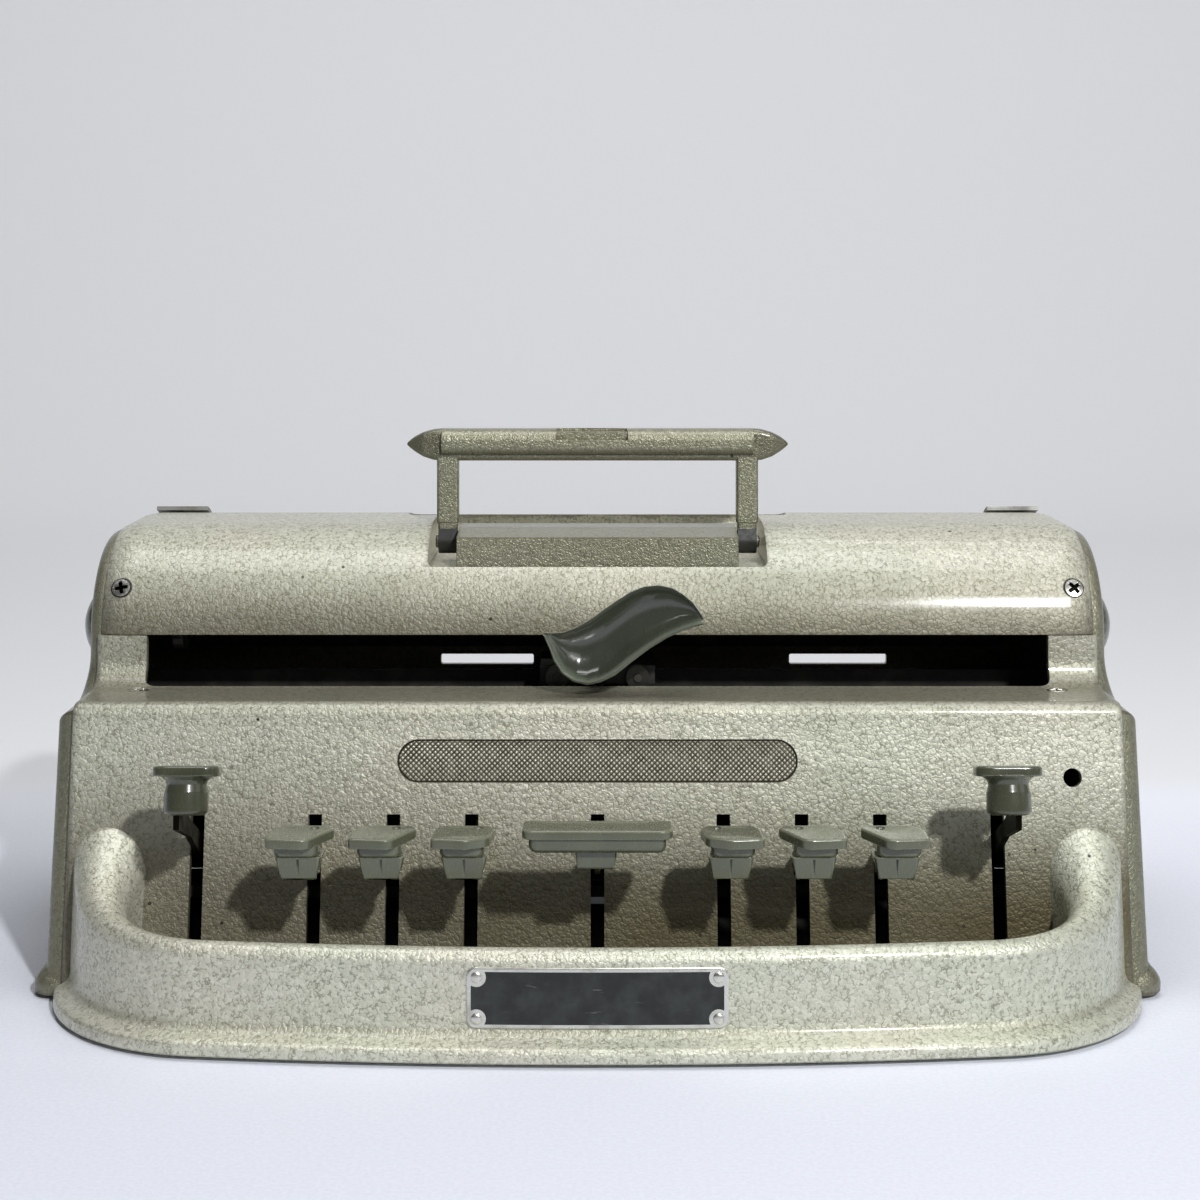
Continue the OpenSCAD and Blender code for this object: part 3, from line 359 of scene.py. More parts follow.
class Surface:
    """Collects grids of points in millimetres and turns them into one mesh object."""

    def __init__(self) -> None:
        """Starts without points."""
        self.points: list[Array] = []
        self.faces: list[Array] = []
        self.count = 0

    def grid(self, pts: Array, wrap_rows: bool = False, wrap_cols: bool = False,
             caps: bool = False) -> "Surface":
        """Adds a grid of quads.

        Args:
            pts: A (rows, cols, 3) array in millimetres.
            wrap_rows: Join the last row to the first.
            wrap_cols: Join the last column to the first.
            caps: Close the first and last rows with a flat face each.

        Returns:
            This surface.
        """
        rows, cols = pts.shape[:2]
        idx = np.arange(rows * cols).reshape(rows, cols) + self.count
        first, last = idx[0], idx[-1]
        if wrap_rows:
            idx = np.vstack([idx, idx[:1]])
        if wrap_cols:
            idx = np.hstack([idx, idx[:, :1]])
        quads = np.stack([idx[:-1, :-1], idx[:-1, 1:], idx[1:, 1:], idx[1:, :-1]], axis=-1)
        self.faces.append(quads.reshape(-1, 4))
        if caps:
            self.faces.append(first[None, ::-1])
            self.faces.append(last[None])
        self.points.append(pts.reshape(-1, 3))
        self.count += rows * cols
        return self

    def close_ends(self, pts: Array) -> "Surface":
        """Closes the first and last columns of the grid that was added last, whose rows wrap."""
        start = self.count - pts.shape[0] * pts.shape[1]
        idx = np.arange(pts.shape[0] * pts.shape[1]).reshape(pts.shape[:2]) + start
        self.faces += [idx[:, 0][None], idx[:, -1][None, ::-1]]
        return self

    def loft(self, rings: Iterable[Array]) -> "Surface":
        """Adds a closed solid over equal closed rings, capped at both ends."""
        return self.grid(np.stack(list(rings)), wrap_cols=True, caps=True)

    def add(self, other: "Surface") -> None:
        """Takes over another surface's grids."""
        self.faces += [face + self.count for face in other.faces]
        self.points += other.points
        self.count += other.count

    def mesh(self, name: str, weld: float = 1e-6) -> bpy.types.Mesh:
        """Makes the mesh in metres, joined at its seams, with its faces turned outwards.

        Args:
            name: Name of the mesh.
            weld: Distance in metres under which points are joined.

        Returns:
            The new mesh.
        """
        mesh = bpy.data.meshes.new(name)
        faces = [row for block in self.faces for row in block.tolist()]
        mesh.from_pydata((np.concatenate(self.points) * MM).tolist(), [], faces)
        with edited(mesh) as bm:
            bmesh.ops.remove_doubles(bm, verts=bm.verts, dist=weld)
            bmesh.ops.dissolve_degenerate(bm, edges=bm.edges, dist=weld * 0.1)
            bmesh.ops.recalc_face_normals(bm, faces=bm.faces)
        return mesh

    def object(self, name: str) -> bpy.types.Object:
        """Makes the mesh and puts it into the scene as an object at the origin."""
        return add_object(name, self.mesh(name))


def add_object(name: str, mesh: bpy.types.Mesh) -> bpy.types.Object:
    """Links a mesh into the scene as an object at the origin."""
    obj = bpy.data.objects.new(name, mesh)
    bpy.context.scene.collection.objects.link(obj)
    return obj


def turned(profile: Points, steps: int, axis: Sequence[float],
           origin: Sequence[float] = (0, 0, 0)) -> Surface:
    """A closed solid turned about an axis from a profile of (distance along it, radius)."""
    grid = spin(np.asarray(profile, float), steps, axis, origin)
    return Surface().grid(grid, wrap_cols=True, caps=True)


def prism(outline: Array, lift: Callable[[Array], Array], depth: Sequence[float]) -> Surface:
    """A straight prism over a closed outline.

    Args:
        outline: (n, 2) points.
        lift: Places (n, 3) rows of (u, v, w) in the machine's frame, in millimetres.
        depth: The two ends along w.

    Returns:
        A surface with one closed solid.
    """
    rings = [np.column_stack([outline, np.full(len(outline), w)]) for w in depth]
    return Surface().loft([lift(ring) for ring in rings])


def upright(points: Array) -> Array:
    """Plan points (x, y, height) as they are."""
    return points


def standing(points: Array) -> Array:
    """Front-view points (x, height, depth) in the machine's order."""
    return points[:, [0, 2, 1]]


def on_face(points: Array) -> Array:
    """Points (x, height up the panel from its foot, distance out of it) on the key panel.

    The face's upward direction is (0, sin 10, cos 10) and its outward one (0, -cos 10, sin 10).
    """
    s, c = math.sin(SIZE.tilt), math.cos(SIZE.tilt)
    x, u, w = points.T
    return np.stack([x, SIZE.panel_y + u * s - w * c, SIZE.floor_z + u * c + w * s], axis=1)


def up_face(z: float) -> float:
    """Distance up the key panel from its foot to height z."""
    return (z - SIZE.floor_z) / math.cos(SIZE.tilt)


def rectangle(x0: float, x1: float, y0: float, y1: float, r: float = 0.0, n: int = 6) -> Array:
    """A rectangle, with rounded corners if r is given, as a closed outline."""
    return rounded([[x0, y0], [x1, y0], [x1, y1], [x0, y1]], r, n)


def carve(obj: bpy.types.Object, cutters: Sequence[Surface | bpy.types.Object],
          how: str = "DIFFERENCE") -> bpy.types.Object:
    """Cuts solids out of an object, or joins them to it, with exact Boolean modifiers.

    Args:
        obj: The object to change.
        cutters: Surfaces or objects to cut with; they are used up.
        how: The Boolean operation.

    Returns:
        The object, with its new mesh.
    """
    tools = [c if isinstance(c, bpy.types.Object) else c.object("cutter") for c in cutters]
    for tool in tools:
        mod = obj.modifiers.new("cut", "BOOLEAN")
        mod.operation, mod.solver, mod.object = how, "EXACT", tool
    settle(obj)
    for tool in tools:
        mesh = tool.data
        bpy.data.objects.remove(tool)
        bpy.data.meshes.remove(mesh)
    return obj


def settle(obj: bpy.types.Object) -> None:
    """Applies an object's modifiers to its mesh."""
    bpy.context.view_layer.update()
    shown = obj.evaluated_get(bpy.context.evaluated_depsgraph_get())
    mesh = bpy.data.meshes.new_from_object(shown)
    old = obj.data
    obj.modifiers.clear()
    obj.data = mesh
    mesh.name = obj.name
    bpy.data.meshes.remove(old)


def soften(obj: bpy.types.Object, width: float, angle: float) -> None:
    """Rounds an object's hard edges with an applied Bevel modifier.

    Args:
        obj: The object.
        width: Width of the rounding in millimetres.
        angle: Smallest angle between faces, in degrees, that is rounded.
    """
    mod = obj.modifiers.new("soften", "BEVEL")
    mod.width, mod.segments, mod.miter_outer = width * MM, 2, "MITER_ARC"
    mod.limit_method, mod.angle_limit = "ANGLE", math.radians(angle)
    mod.use_clamp_overlap = True
    settle(obj)


def shade(obj: bpy.types.Object, angle: float = 35.0, even: bool = True) -> None:
    """Shades an object smooth, with edges sharper than angle degrees kept hard.

    Args:
        obj: The object.
        angle: Angle in degrees over which an edge stays hard.
        even: Whether large faces keep their own direction up to the rounded edges round them.
    """
    mesh = obj.data
    mesh.polygons.foreach_set("use_smooth", np.ones(len(mesh.polygons), bool))
    mesh.set_sharp_from_angle(angle=math.radians(angle))
    if even:
        mod = obj.modifiers.new("even", "WEIGHTED_NORMAL")
        mod.keep_sharp, mod.weight = True, 80
        settle(obj)
    obj.data.update()


def refine(obj: bpy.types.Object, limit: float) -> None:
    """Splits edges until none is longer than limit millimetres; the shape stays as it is."""
    with edited(obj.data) as bm:
        many = lambda: [f for f in bm.faces if len(f.verts) > 4]
        bmesh.ops.triangulate(bm, faces=many())
        for _ in range(8):
            long = [e for e in bm.edges if e.calc_length() > limit * MM]
            if not long:
                break
            bmesh.ops.subdivide_edges(bm, edges=long, cuts=1, use_grid_fill=True)
            bmesh.ops.triangulate(bm, faces=many())
        bmesh.ops.dissolve_degenerate(bm, edges=bm.edges, dist=1e-6)
    obj.data.validate()


def read(items: bpy.types.bpy_prop_collection, key: str, width: int = 1,
         kind: type = np.float32) -> Array:
    """Reads one property of a mesh's vertices, edges, faces or corners.

    Args:
        items: The mesh's collection.
        key: Name of the property.
        width: How many numbers each item has.
        kind: Type of the numbers.

    Returns:
        An (n,) array, or an (n, width) one.
    """
    out = np.zeros(len(items) * width, kind)
    items.foreach_get(key, out)
    return out.reshape(-1, width) if width > 1 else out


def spots(obj: bpy.types.Object) -> Array:
    """A mesh's vertices as an (n, 3) array in millimetres."""
    return read(obj.data.vertices, "co", 3) / MM


def mark(mesh: bpy.types.Mesh, name: str, values: Array) -> None:
    """Stores one number for each vertex as an attribute."""
    layer = mesh.attributes.get(name) or mesh.attributes.new(name, "FLOAT", "POINT")
    layer.data.foreach_set("value", np.ascontiguousarray(values, np.float32))


def paint_shade_and_tone(obj: bpy.types.Object, values: Array) -> None:
    """Stores how much darker an object is painted at each vertex, from 0 to 1: painted shade, and
    in places the part's own darker tone.
    """
    mark(obj.data, "grime", values)


def mark_edges(obj: bpy.types.Object, reach: float) -> None:
    """Writes how convex the surface is at each point, for the finish's worn edges.

    For an edge between two faces with normals n1, n2 and centres c1, c2, the bend is the angle
    between the normals over the distance between the centres, positive where
    (c2 - c1) . (n2 - n1) > 0. A point takes the mean over its edges, times reach millimetres.

    Args:
        obj: The object; its mesh gets the point attribute "edge".
        reach: Radius in millimetres at which the value is 1.
    """
    mesh = obj.data
    edge_of = read(mesh.loops, "edge_index", kind=np.int32)
    total = read(mesh.polygons, "loop_total", kind=np.int32)
    normal, centre = (read(mesh.polygons, key, 3) for key in ("normal", "center"))
    order = np.argsort(edge_of, kind="stable")
    face_of = np.repeat(np.arange(len(total)), total)[order]
    edge = edge_of[order]
    pair = np.flatnonzero(edge[:-1] == edge[1:])
    f1, f2, e = face_of[pair], face_of[pair + 1], edge[pair]
    dn, dc = normal[f2] - normal[f1], centre[f2] - centre[f1]
    bend = np.sign((dn * dc).sum(1)) * np.linalg.norm(dn, axis=1) / np.maximum(
        np.linalg.norm(dc, axis=1), 2e-4)
    ends = read(mesh.edges, "vertices", 2, np.int32)[e].ravel()
    points = len(mesh.vertices)
    value = np.bincount(ends, np.repeat(bend, 2), points)
    value /= np.maximum(np.bincount(ends, minlength=points), 1)
    mark(mesh, "edge", np.clip(value * reach * MM, -2, 2))




# ---- Finishes ------------------------------------------------------------------------------------
Colour = tuple[float, float, float]


def srgb(r: int, g: int, b: int) -> Colour:
    """A colour written as 8-bit display values, as the linear values that a shader takes."""
    c = np.array([r, g, b]) / 255.0
    return tuple(np.where(c <= 0.04045, c / 12.92, ((c + 0.055) / 1.055) ** 2.4).tolist())


class Wiring:
    """Wires one tree of shader nodes. A socket or a plain value can be given for any input."""

    def __init__(self, tree: bpy.types.NodeTree) -> None:
        """Takes the tree to wire."""
        self.tree = tree

    def set(self, socket: bpy.types.NodeSocket, value: object) -> None:
        """Links an output to a socket, or sets the socket's own value."""
        if isinstance(value, bpy.types.NodeSocket):
            self.tree.links.new(value, socket)
        elif isinstance(value, tuple) and len(value) == 3 and len(socket.default_value) == 4:
            socket.default_value = (*value, 1.0)
        else:
            socket.default_value = value

    def node(self, kind: str, inputs: dict[str | int, object], output: str | int = 0,
             **options: object) -> bpy.types.NodeSocket:
        """Adds a node.

        Args:
            kind: The node's type, without its first part.
            inputs: Sockets or values for its inputs, by name or number.
            output: Name or number of the output that is wanted.
            **options: The node's own settings.

        Returns:
            That output.
        """
        node = self.tree.nodes.new(f"ShaderNode{kind}")
        for name, value in options.items():
            setattr(node, name, value)
        for name, value in inputs.items():
            self.set(node.inputs[name], value)
        return node.outputs[output]

    def math(self, how: str, *values: object) -> bpy.types.NodeSocket:
        """One Math node."""
        return self.node("Math", dict(enumerate(values)), operation=how)

    def mix(self, share: object, a: object, b: object) -> bpy.types.NodeSocket:
        """One Mix node for colours."""
        return self.node("Mix", {0: share, 6: a, 7: b}, 2, data_type="RGBA")

    def step(self, value: object, low: float, high: float, to_low: float = 0.0,
             to_high: float = 1.0) -> bpy.types.NodeSocket:
        """A smooth step of a value from low to high, mapped to to_low and to_high."""
        return self.node("MapRange", dict(enumerate((value, low, high, to_low, to_high))),
            interpolation_type="SMOOTHSTEP")

    def ray(self, kind: str) -> bpy.types.NodeSocket:
        """1 for a ray of that kind, such as Camera or Glossy, and 0 for others."""
        return self.node("LightPath", {}, f"Is {kind} Ray")


class Graph(Wiring):
    """One material's nodes: a Principled shader with textures on Object coordinates."""

    def __init__(self, name: str) -> None:
        """Makes the material with its shader and output."""
        self.material = bpy.data.materials.new(name)
        self.material.use_nodes = True
        super().__init__(self.material.node_tree)
        self.tree.nodes.clear()
        out = self.tree.nodes.new("ShaderNodeOutputMaterial")
        self.shader = self.tree.nodes.new("ShaderNodeBsdfPrincipled")
        self.tree.links.new(self.shader.outputs[0], out.inputs[0])
        self.place = self.node("TexCoord", {}, "Object")

    def shader_inputs(self, **values: object) -> None:
        """Sets the shader's inputs by name, with spaces written as underscores."""
        for name, value in values.items():
            self.set(self.shader.inputs[name.replace("_", " ")], value)

    def stretch(self, scale: Sequence[float], turn: Sequence[float] = (0, 0, 0)
                ) -> bpy.types.NodeSocket:
        """Object coordinates, turned by some degrees and scaled along each axis."""
        return self.node("Mapping", {"Vector": self.place, "Scale": scale,
            "Rotation": [math.radians(t) for t in turn]})

    def noise(self, scale: float, detail: float = 2.0, rough: float = 0.5,
              where: object = None, output: str = "Fac") -> bpy.types.NodeSocket:
        """A Noise texture; scale is in cells for each metre."""
        return self.node("TexNoise", {"Vector": where or self.place, "Scale": scale,
            "Detail": detail, "Roughness": rough}, output)

    def warped(self, scale: float, amount: float) -> bpy.types.NodeSocket:
        """Object coordinates pushed about by noise of that scale, by up to amount metres."""
        return self.node("VectorMath", {0: self.noise(scale, 1.0, output="Color"),
            1: (amount,) * 3, 2: self.place}, operation="MULTIPLY_ADD")

    def cells(self, scale: float, where: object = None, feature: str = "F1",
              output: str = "Distance") -> bpy.types.NodeSocket:
        """A Voronoi texture; scale is in cells for each metre."""
        return self.node("TexVoronoi", {"Vector": where or self.place, "Scale": scale}, output,
            feature=feature)

    def attribute(self, name: str) -> bpy.types.NodeSocket:
        """A float attribute of the mesh."""
        return self.node("Attribute", {}, "Fac", attribute_name=name)

    def bump(self, height: object, depth: float, strength: float) -> bpy.types.NodeSocket:
        """A Bump node; depth is in metres."""
        return self.node("Bump", {"Strength": strength, "Distance": depth, "Height": height})


@dataclass(frozen=True)
class Finish:
    """A finish: its name, its colour and how rough and metallic it is.

    Attributes:
        name: Name of the material.
        colour: Base colour, linear.
        rough: Roughness of the surface.
        metal: How metallic it is, from 0 to 1.
    """

    name: str
    colour: Colour
    rough: float = 0.4
    metal: float = 0.0

    def build(self) -> bpy.types.Material:
        """Makes the material.

        Returns:
            The new material.
        """
        g = Graph(f"{self.name}_look")
        g.shader_inputs(Base_Color=self.colour, Roughness=self.rough, Metallic=self.metal)
        self.detail(g)
        return g.material

    def tone(self, *share: float, add: float = 0.0) -> Colour:
        """The finish's colour, times one share or three, plus add, up to 1."""
        share = share if len(share) == 3 else share * 3
        return tuple(min(c * k + add, 1.0) for c, k in zip(self.colour, share))

    def detail(self, g: Graph) -> None:
        """Adds the finish's own texture. Subclasses override it."""
        raise NotImplementedError


@dataclass(frozen=True)
class HammerPaint(Finish):
    """Hammertone enamel: domed cells with short dark veins between them, worn on the edges."""

    cell: float = 1.75
    vein: float = 0.62
    worn: float = 0.5

    def detail(self, g: Graph) -> None:
        """Adds the texture."""
        where = g.warped(700.0, 0.0022)
        scale = 1000.0 / self.cell
        rim = g.cells(scale, where, "DISTANCE_TO_EDGE")
        body = g.cells(scale, where, "F1")
        tone = g.cells(scale, where, "F1", "Color")
        fine = g.noise(900.0, 2.0, 0.6)
        patch = g.noise(38.0, 3.0, 0.55)
        broad = g.noise(9.0, 2.0, 0.5)
        # Veins: thin lines between cells, broken where a coarse noise is low
        line = g.step(rim, 0.01, 0.16, 1.0, 0.0)
        line = g.math("MULTIPLY", line, g.step(g.noise(560.0, 2.0, 0.6), 0.44, 0.58))
        line = g.math("MULTIPLY", line, g.step(patch, 0.3, 0.7, self.vein * 0.85, self.vein * 1.15))
        base = g.mix(g.step(g.node("SeparateColor", {0: tone}), 0.0, 1.0),
            self.tone(0.86, 0.87, 0.83), self.tone(1.13))
        tint = g.mix(g.step(broad, 0.38, 0.62), self.tone(1.03, 0.99, 0.94),
            self.tone(0.95, 1.0, 0.93))
        veined = g.mix(line, g.mix(0.45, base, tint), self.tone(0.25, 0.24, 0.18))
        # Wear: rubbed edges, small chips and specks; painted shade in concave creases and from the
        # grime attribute
        edge = g.attribute("edge")
        ragged = g.math("ADD", edge, g.math("MULTIPLY_ADD", g.noise(120.0, 4.0, 0.7), 1.3, -0.65))
        rub = g.math("MULTIPLY", g.step(ragged, 0.62, 1.15), self.worn)
        worn = g.mix(rub, veined, self.tone(0.40, 0.37, 0.33))
        # Painted shade: concave creases and hollows darkened
        hollow = g.math("MULTIPLY", g.step(edge, -0.12, -0.6), 0.55)
        shaded = g.mix(hollow, worn, self.tone(0.44, 0.42, 0.33))
        # Painted shade, and in places the part's own darker tone, from the grime attribute
        grime = g.math("MULTIPLY", g.attribute("grime"), g.step(broad, 0.2, 0.8, 0.75, 1.0))
        shaded = g.mix(grime, shaded, self.tone(0.15, 0.125, 0.07))
        speck = g.step(g.cells(75.0, None, "F1"), 0.035, 0.06, 1.0, 0.0)
        speck = g.math("MULTIPLY", speck, g.step(g.noise(14.0, 1.0), 0.5, 0.56))
        g.shader_inputs(Base_Color=g.mix(speck, shaded, srgb(52, 46, 32)))
        # Relief: each cell is a low dome, on a slower orange-peel swell
        dome = g.math("MULTIPLY_ADD", g.math("MULTIPLY", body, body), -1.0,
            g.math("MULTIPLY", g.step(rim, 0.0, 0.25), 0.3))
        relief = g.math("MULTIPLY_ADD", fine, 0.16, dome)
        relief = g.math("MULTIPLY_ADD", g.noise(330.0, 2.0), 1.5, relief)
        rough = g.step(patch, 0.2, 0.8, self.rough - 0.05, self.rough + 0.06)
        g.shader_inputs(Normal=g.bump(relief, 0.0002, 0.7),
            Roughness=g.math("ADD", rough, g.math("MULTIPLY", rub, 0.2)), Coat_Weight=0.5,
            Coat_Roughness=0.14, Coat_IOR=1.5)


@dataclass(frozen=True)
class Moulded(Finish):
    """Moulded plastic with a faint ripple, slight tone changes, dust and fine scuffs."""

    ripple: float = 0.25
    coat: float = 0.0
    # rim: how much lighter convex edges are painted, a painted highlight
    rim: float = 0.3

    def detail(self, g: Graph) -> None:
        """Adds the texture."""
        broad = g.noise(45.0, 3.0)
        grain = g.noise(1400.0, 2.0, 0.6)
        scuff = g.noise(300.0, 3.0, 0.7, where=g.stretch((6.0, 1.0, 2.0), (20, 35, 10)))
        base = g.mix(g.step(broad, 0.3, 0.7), self.tone(0.84), self.tone(1.12))
        # Painted highlight: convex edges, and the spoon's lip where the attribute rim is set,
        # painted up to 2.8 times lighter
        edge = g.step(g.attribute("edge"), 0.3, 1.1, 0.0, self.rim)
        edge = g.math("MAXIMUM", edge, g.attribute("rim"))
        base = g.mix(edge, base, self.tone(2.8, add=0.03))
        g.shader_inputs(Base_Color=base,
            Roughness=g.math("MULTIPLY_ADD", g.step(scuff, 0.52, 0.7), 0.12,
                g.step(broad, 0.2, 0.8, self.rough - 0.04, self.rough + 0.05)),
            Normal=g.bump(g.math("MULTIPLY_ADD", grain, 0.3, broad), 0.00012, self.ripple),
            Coat_Weight=self.coat, Coat_Roughness=0.08)


@dataclass(frozen=True)
class Metal(Finish):
    """Machined or plated metal with fine marks along one axis and some tarnish."""

    along: int = 0
    mark: float = 0.35
    tarnish: float = 0.35
    tarnish_colour: Colour = (0.12, 0.10, 0.07)

    def detail(self, g: Graph) -> None:
        """Adds the texture."""
        scale = [1.0, 1.0, 1.0]
        scale[self.along] = 0.03
        marks = g.noise(1500.0, 3.0, 0.6, where=g.stretch(scale))
        patch = g.noise(110.0, 4.0, 0.6)
        base = g.mix(g.math("MULTIPLY", g.step(patch, 0.45, 0.75), self.tarnish), self.colour,
            self.tarnish_colour)
        base = g.mix(g.step(marks, 0.3, 0.7, 0.0, 0.3), base, self.tone(0.7))
        # Painted shade from the grime attribute: the screws' crosses and borders darkened
        g.shader_inputs(Base_Color=g.mix(g.attribute("grime"), base, srgb(20, 19, 16)),
            Roughness=g.math("MULTIPLY_ADD", g.step(patch, 0.35, 0.75), 0.2,
                g.step(marks, 0.25, 0.75, self.rough - 0.06, self.rough + 0.08)),
            Normal=g.bump(marks, 0.00006, self.mark))


@dataclass(frozen=True)
class Coarse(Finish):
    """Rubber, sand-cast black paint or black lacquer, with a fine grain and dust."""

    grain: float = 1100.0
    depth: float = 0.00008
    dust: float = 0.12

    def detail(self, g: Graph) -> None:
        """Adds the texture."""
        fine = g.noise(self.grain, 3.0, 0.65)
        patch = g.noise(55.0, 4.0, 0.6)
        dusty = g.math("MULTIPLY", g.step(patch, 0.4, 0.75), self.dust)
        g.shader_inputs(Base_Color=g.mix(dusty, self.colour, (0.32, 0.30, 0.26)),
            Roughness=g.step(fine, 0.2, 0.8, self.rough - 0.08, self.rough + 0.1),
            Normal=g.bump(fine, self.depth, 0.6))


@dataclass(frozen=True)
class Knurl(Finish):
    """Bare, darkened casting between the points of a knurled field; the points are rubbed
    bright. The mesh carries the height of each point as the attribute "tip", 0 to 1."""

    def detail(self, g: Graph) -> None:
        """Adds the texture."""
        tip = g.attribute("tip")
        rub = g.math("ADD", tip, g.math("MULTIPLY_ADD", g.noise(260.0, 3.0, 0.6), 0.6, -0.3))
        base = g.mix(g.step(rub, 0.12, 0.62), srgb(48, 43, 30), self.colour)
        g.shader_inputs(Base_Color=base, Roughness=g.step(rub, 0.2, 0.8, 0.5, self.rough),
            Normal=g.bump(g.noise(1500.0, 2.0), 0.00004, 0.5))


@dataclass(frozen=True)
class Plate(Finish):
    """Thin printed aluminium: black enamel where the attribute "ink" is 1, bare metal at 0."""

    def detail(self, g: Graph) -> None:
        """Adds the texture."""
        ink = g.step(g.attribute("ink"), 0.35, 0.65)
        scratch = g.noise(900.0, 3.0, 0.7, where=g.stretch((0.12, 1.0, 1.0), (0, 24, 0)))
        cloud = g.noise(130.0, 4.0, 0.6)
        black = g.mix(g.step(cloud, 0.35, 0.75), srgb(21, 23, 22), srgb(46, 50, 48))
        black = g.mix(g.step(scratch, 0.66, 0.76, 0.0, 0.5), black, srgb(120, 120, 112))
        bare = g.mix(g.step(cloud, 0.45, 0.7, 0.0, 0.5), self.colour, srgb(150, 147, 136))
        g.shader_inputs(Base_Color=g.mix(ink, bare, black),
            Metallic=g.math("MULTIPLY_ADD", ink, -0.85, 0.85),
            Roughness=g.math("MULTIPLY_ADD", ink, 0.06, g.step(scratch, 0.3, 0.7, 0.24, 0.36)),
            Normal=g.bump(scratch, 0.00002, 0.4))


class Kind(Enum):
    """The finishes, each with the name of the record's material slot it stands for."""

    PAINT = ("hammer_paint", HammerPaint("hammer_paint", srgb(208, 208, 195), 0.56, 0.6))
    DARK_PAINT = ("hammer_paint", HammerPaint("hammer_paint_worn", srgb(150, 149, 130), 0.42, 0.6,
        cell=1.0, vein=0.4, worn=0.85))
    PAN = ("pan_paint", Coarse("pan_paint", srgb(30, 30, 29), 0.55))
    RUBBER = ("rubber", Coarse("rubber", srgb(26, 26, 25), 0.8, grain=700.0))
    PLATE = ("plate", Plate("plate", srgb(214, 214, 206), 0.3, 0.8))
    STEEL = ("steel", Metal("steel", srgb(186, 184, 178), 0.3, 1.0))
    BRIGHT = ("steel", Metal("bright_steel", srgb(222, 220, 212), 0.22, 1.0, along=2, mark=0.2,
        tarnish=0.2))
    DULL = ("steel", Metal("dull_steel", srgb(92, 90, 84), 0.45, 1.0, tarnish=0.6))
    # Painted shade: a darkened copy of steel for the key shaft and springs, which sit in the shade
    # inside the case
    SOILED = ("steel", Metal("shaded_steel", srgb(38, 36, 30), 0.55, 0.8, tarnish=0.6))
    TIP = ("steel", Metal("tip_steel", srgb(150, 150, 146), 0.5, 0.7, tarnish=0.5))
    ROLLER = ("roller_rubber", Coarse("roller_rubber", srgb(28, 27, 26), 0.75, grain=900.0))
    BLACK = ("black_plastic", Moulded("black_plastic", srgb(24, 24, 23), 0.25))
    KNOB = ("black_plastic", Moulded("knob_plastic", srgb(84, 87, 74), 0.26, coat=0.4))
    BRASS = ("bush_brass", Metal("bush_brass", srgb(196, 164, 96), 0.3, 1.0))
    CASTING = ("black_casting", Coarse("black_casting", srgb(24, 24, 22), 0.5, grain=500.0,
        depth=0.00015))
    LEVER = ("lever_plastic", Moulded("lever_plastic", srgb(58, 62, 52), 0.16, coat=0.6,
        rim=0.75))
    WHEEL = ("wheel_plastic", Moulded("wheel_plastic", srgb(38, 39, 35), 0.4))
    ZINC = ("zinc_steel", Metal("zinc_steel", srgb(176, 168, 96), 0.32, 1.0, along=2,
        tarnish_colour=(0.30, 0.24, 0.06)))
    # Painted shade: a darkened copy of the zinc plating for the end keys' levers, which sit in the
    # shade under the end caps
    ZINC_SHADED = ("zinc_steel", Metal("zinc_steel_shaded", srgb(22, 21, 14), 0.5, 1.0, along=2,
        tarnish_colour=(0.02, 0.018, 0.01)))
    KEY = ("key_plastic", Moulded("key_plastic", srgb(90, 93, 75), 0.22, coat=0.5, rim=0.35))
    # Painted shade: a darker copy of the key plastic for the end caps, whose tilt turns them more
    # to the light
    KEY_SHADED = ("key_plastic", Moulded("key_plastic_shaded", srgb(68, 71, 55), 0.22, coat=0.5,
        rim=0.35))
    KNURL = ("hammer_paint", Knurl("knurl_paint", srgb(176, 173, 156), 0.34, 0.5))

    def __init__(self, slot: str, finish: Finish) -> None:
        """Keeps the slot's name and the finish."""
        self.slot = slot
        self.finish = finish

    @property
    def material(self) -> bpy.types.Material:
        """The finish's material, made once."""
        return bpy.data.materials.get(f"{self.finish.name}_look") or self.finish.build()


FINE_MM = 4.8


def dress(obj: bpy.types.Object, kind: Kind, body: str, *nodes: str, wear: float = 0.0,
          angle: float = 35.0) -> bpy.types.Object:
    """Gives a finished piece its material, shading and place in the machine.

    Args:
        obj: The piece.
        kind: Its finish.
        body: The CAD body that it rides on.
        nodes: CAD nodes that it stands for.
        wear: Radius in millimetres at which edges wear, or 0 to skip it.
        angle: Angle in degrees over which edges stay hard.

    Returns:
        The piece.
    """
    obj.data.materials.clear()
    obj.data.materials.append(kind.material)
    if wear > 0:
        refine(obj, FINE_MM)
        mark_edges(obj, wear)
    shade(obj, angle, even=wear > 0)
    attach(obj, body)
    if nodes:
        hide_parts(*nodes)
    return obj


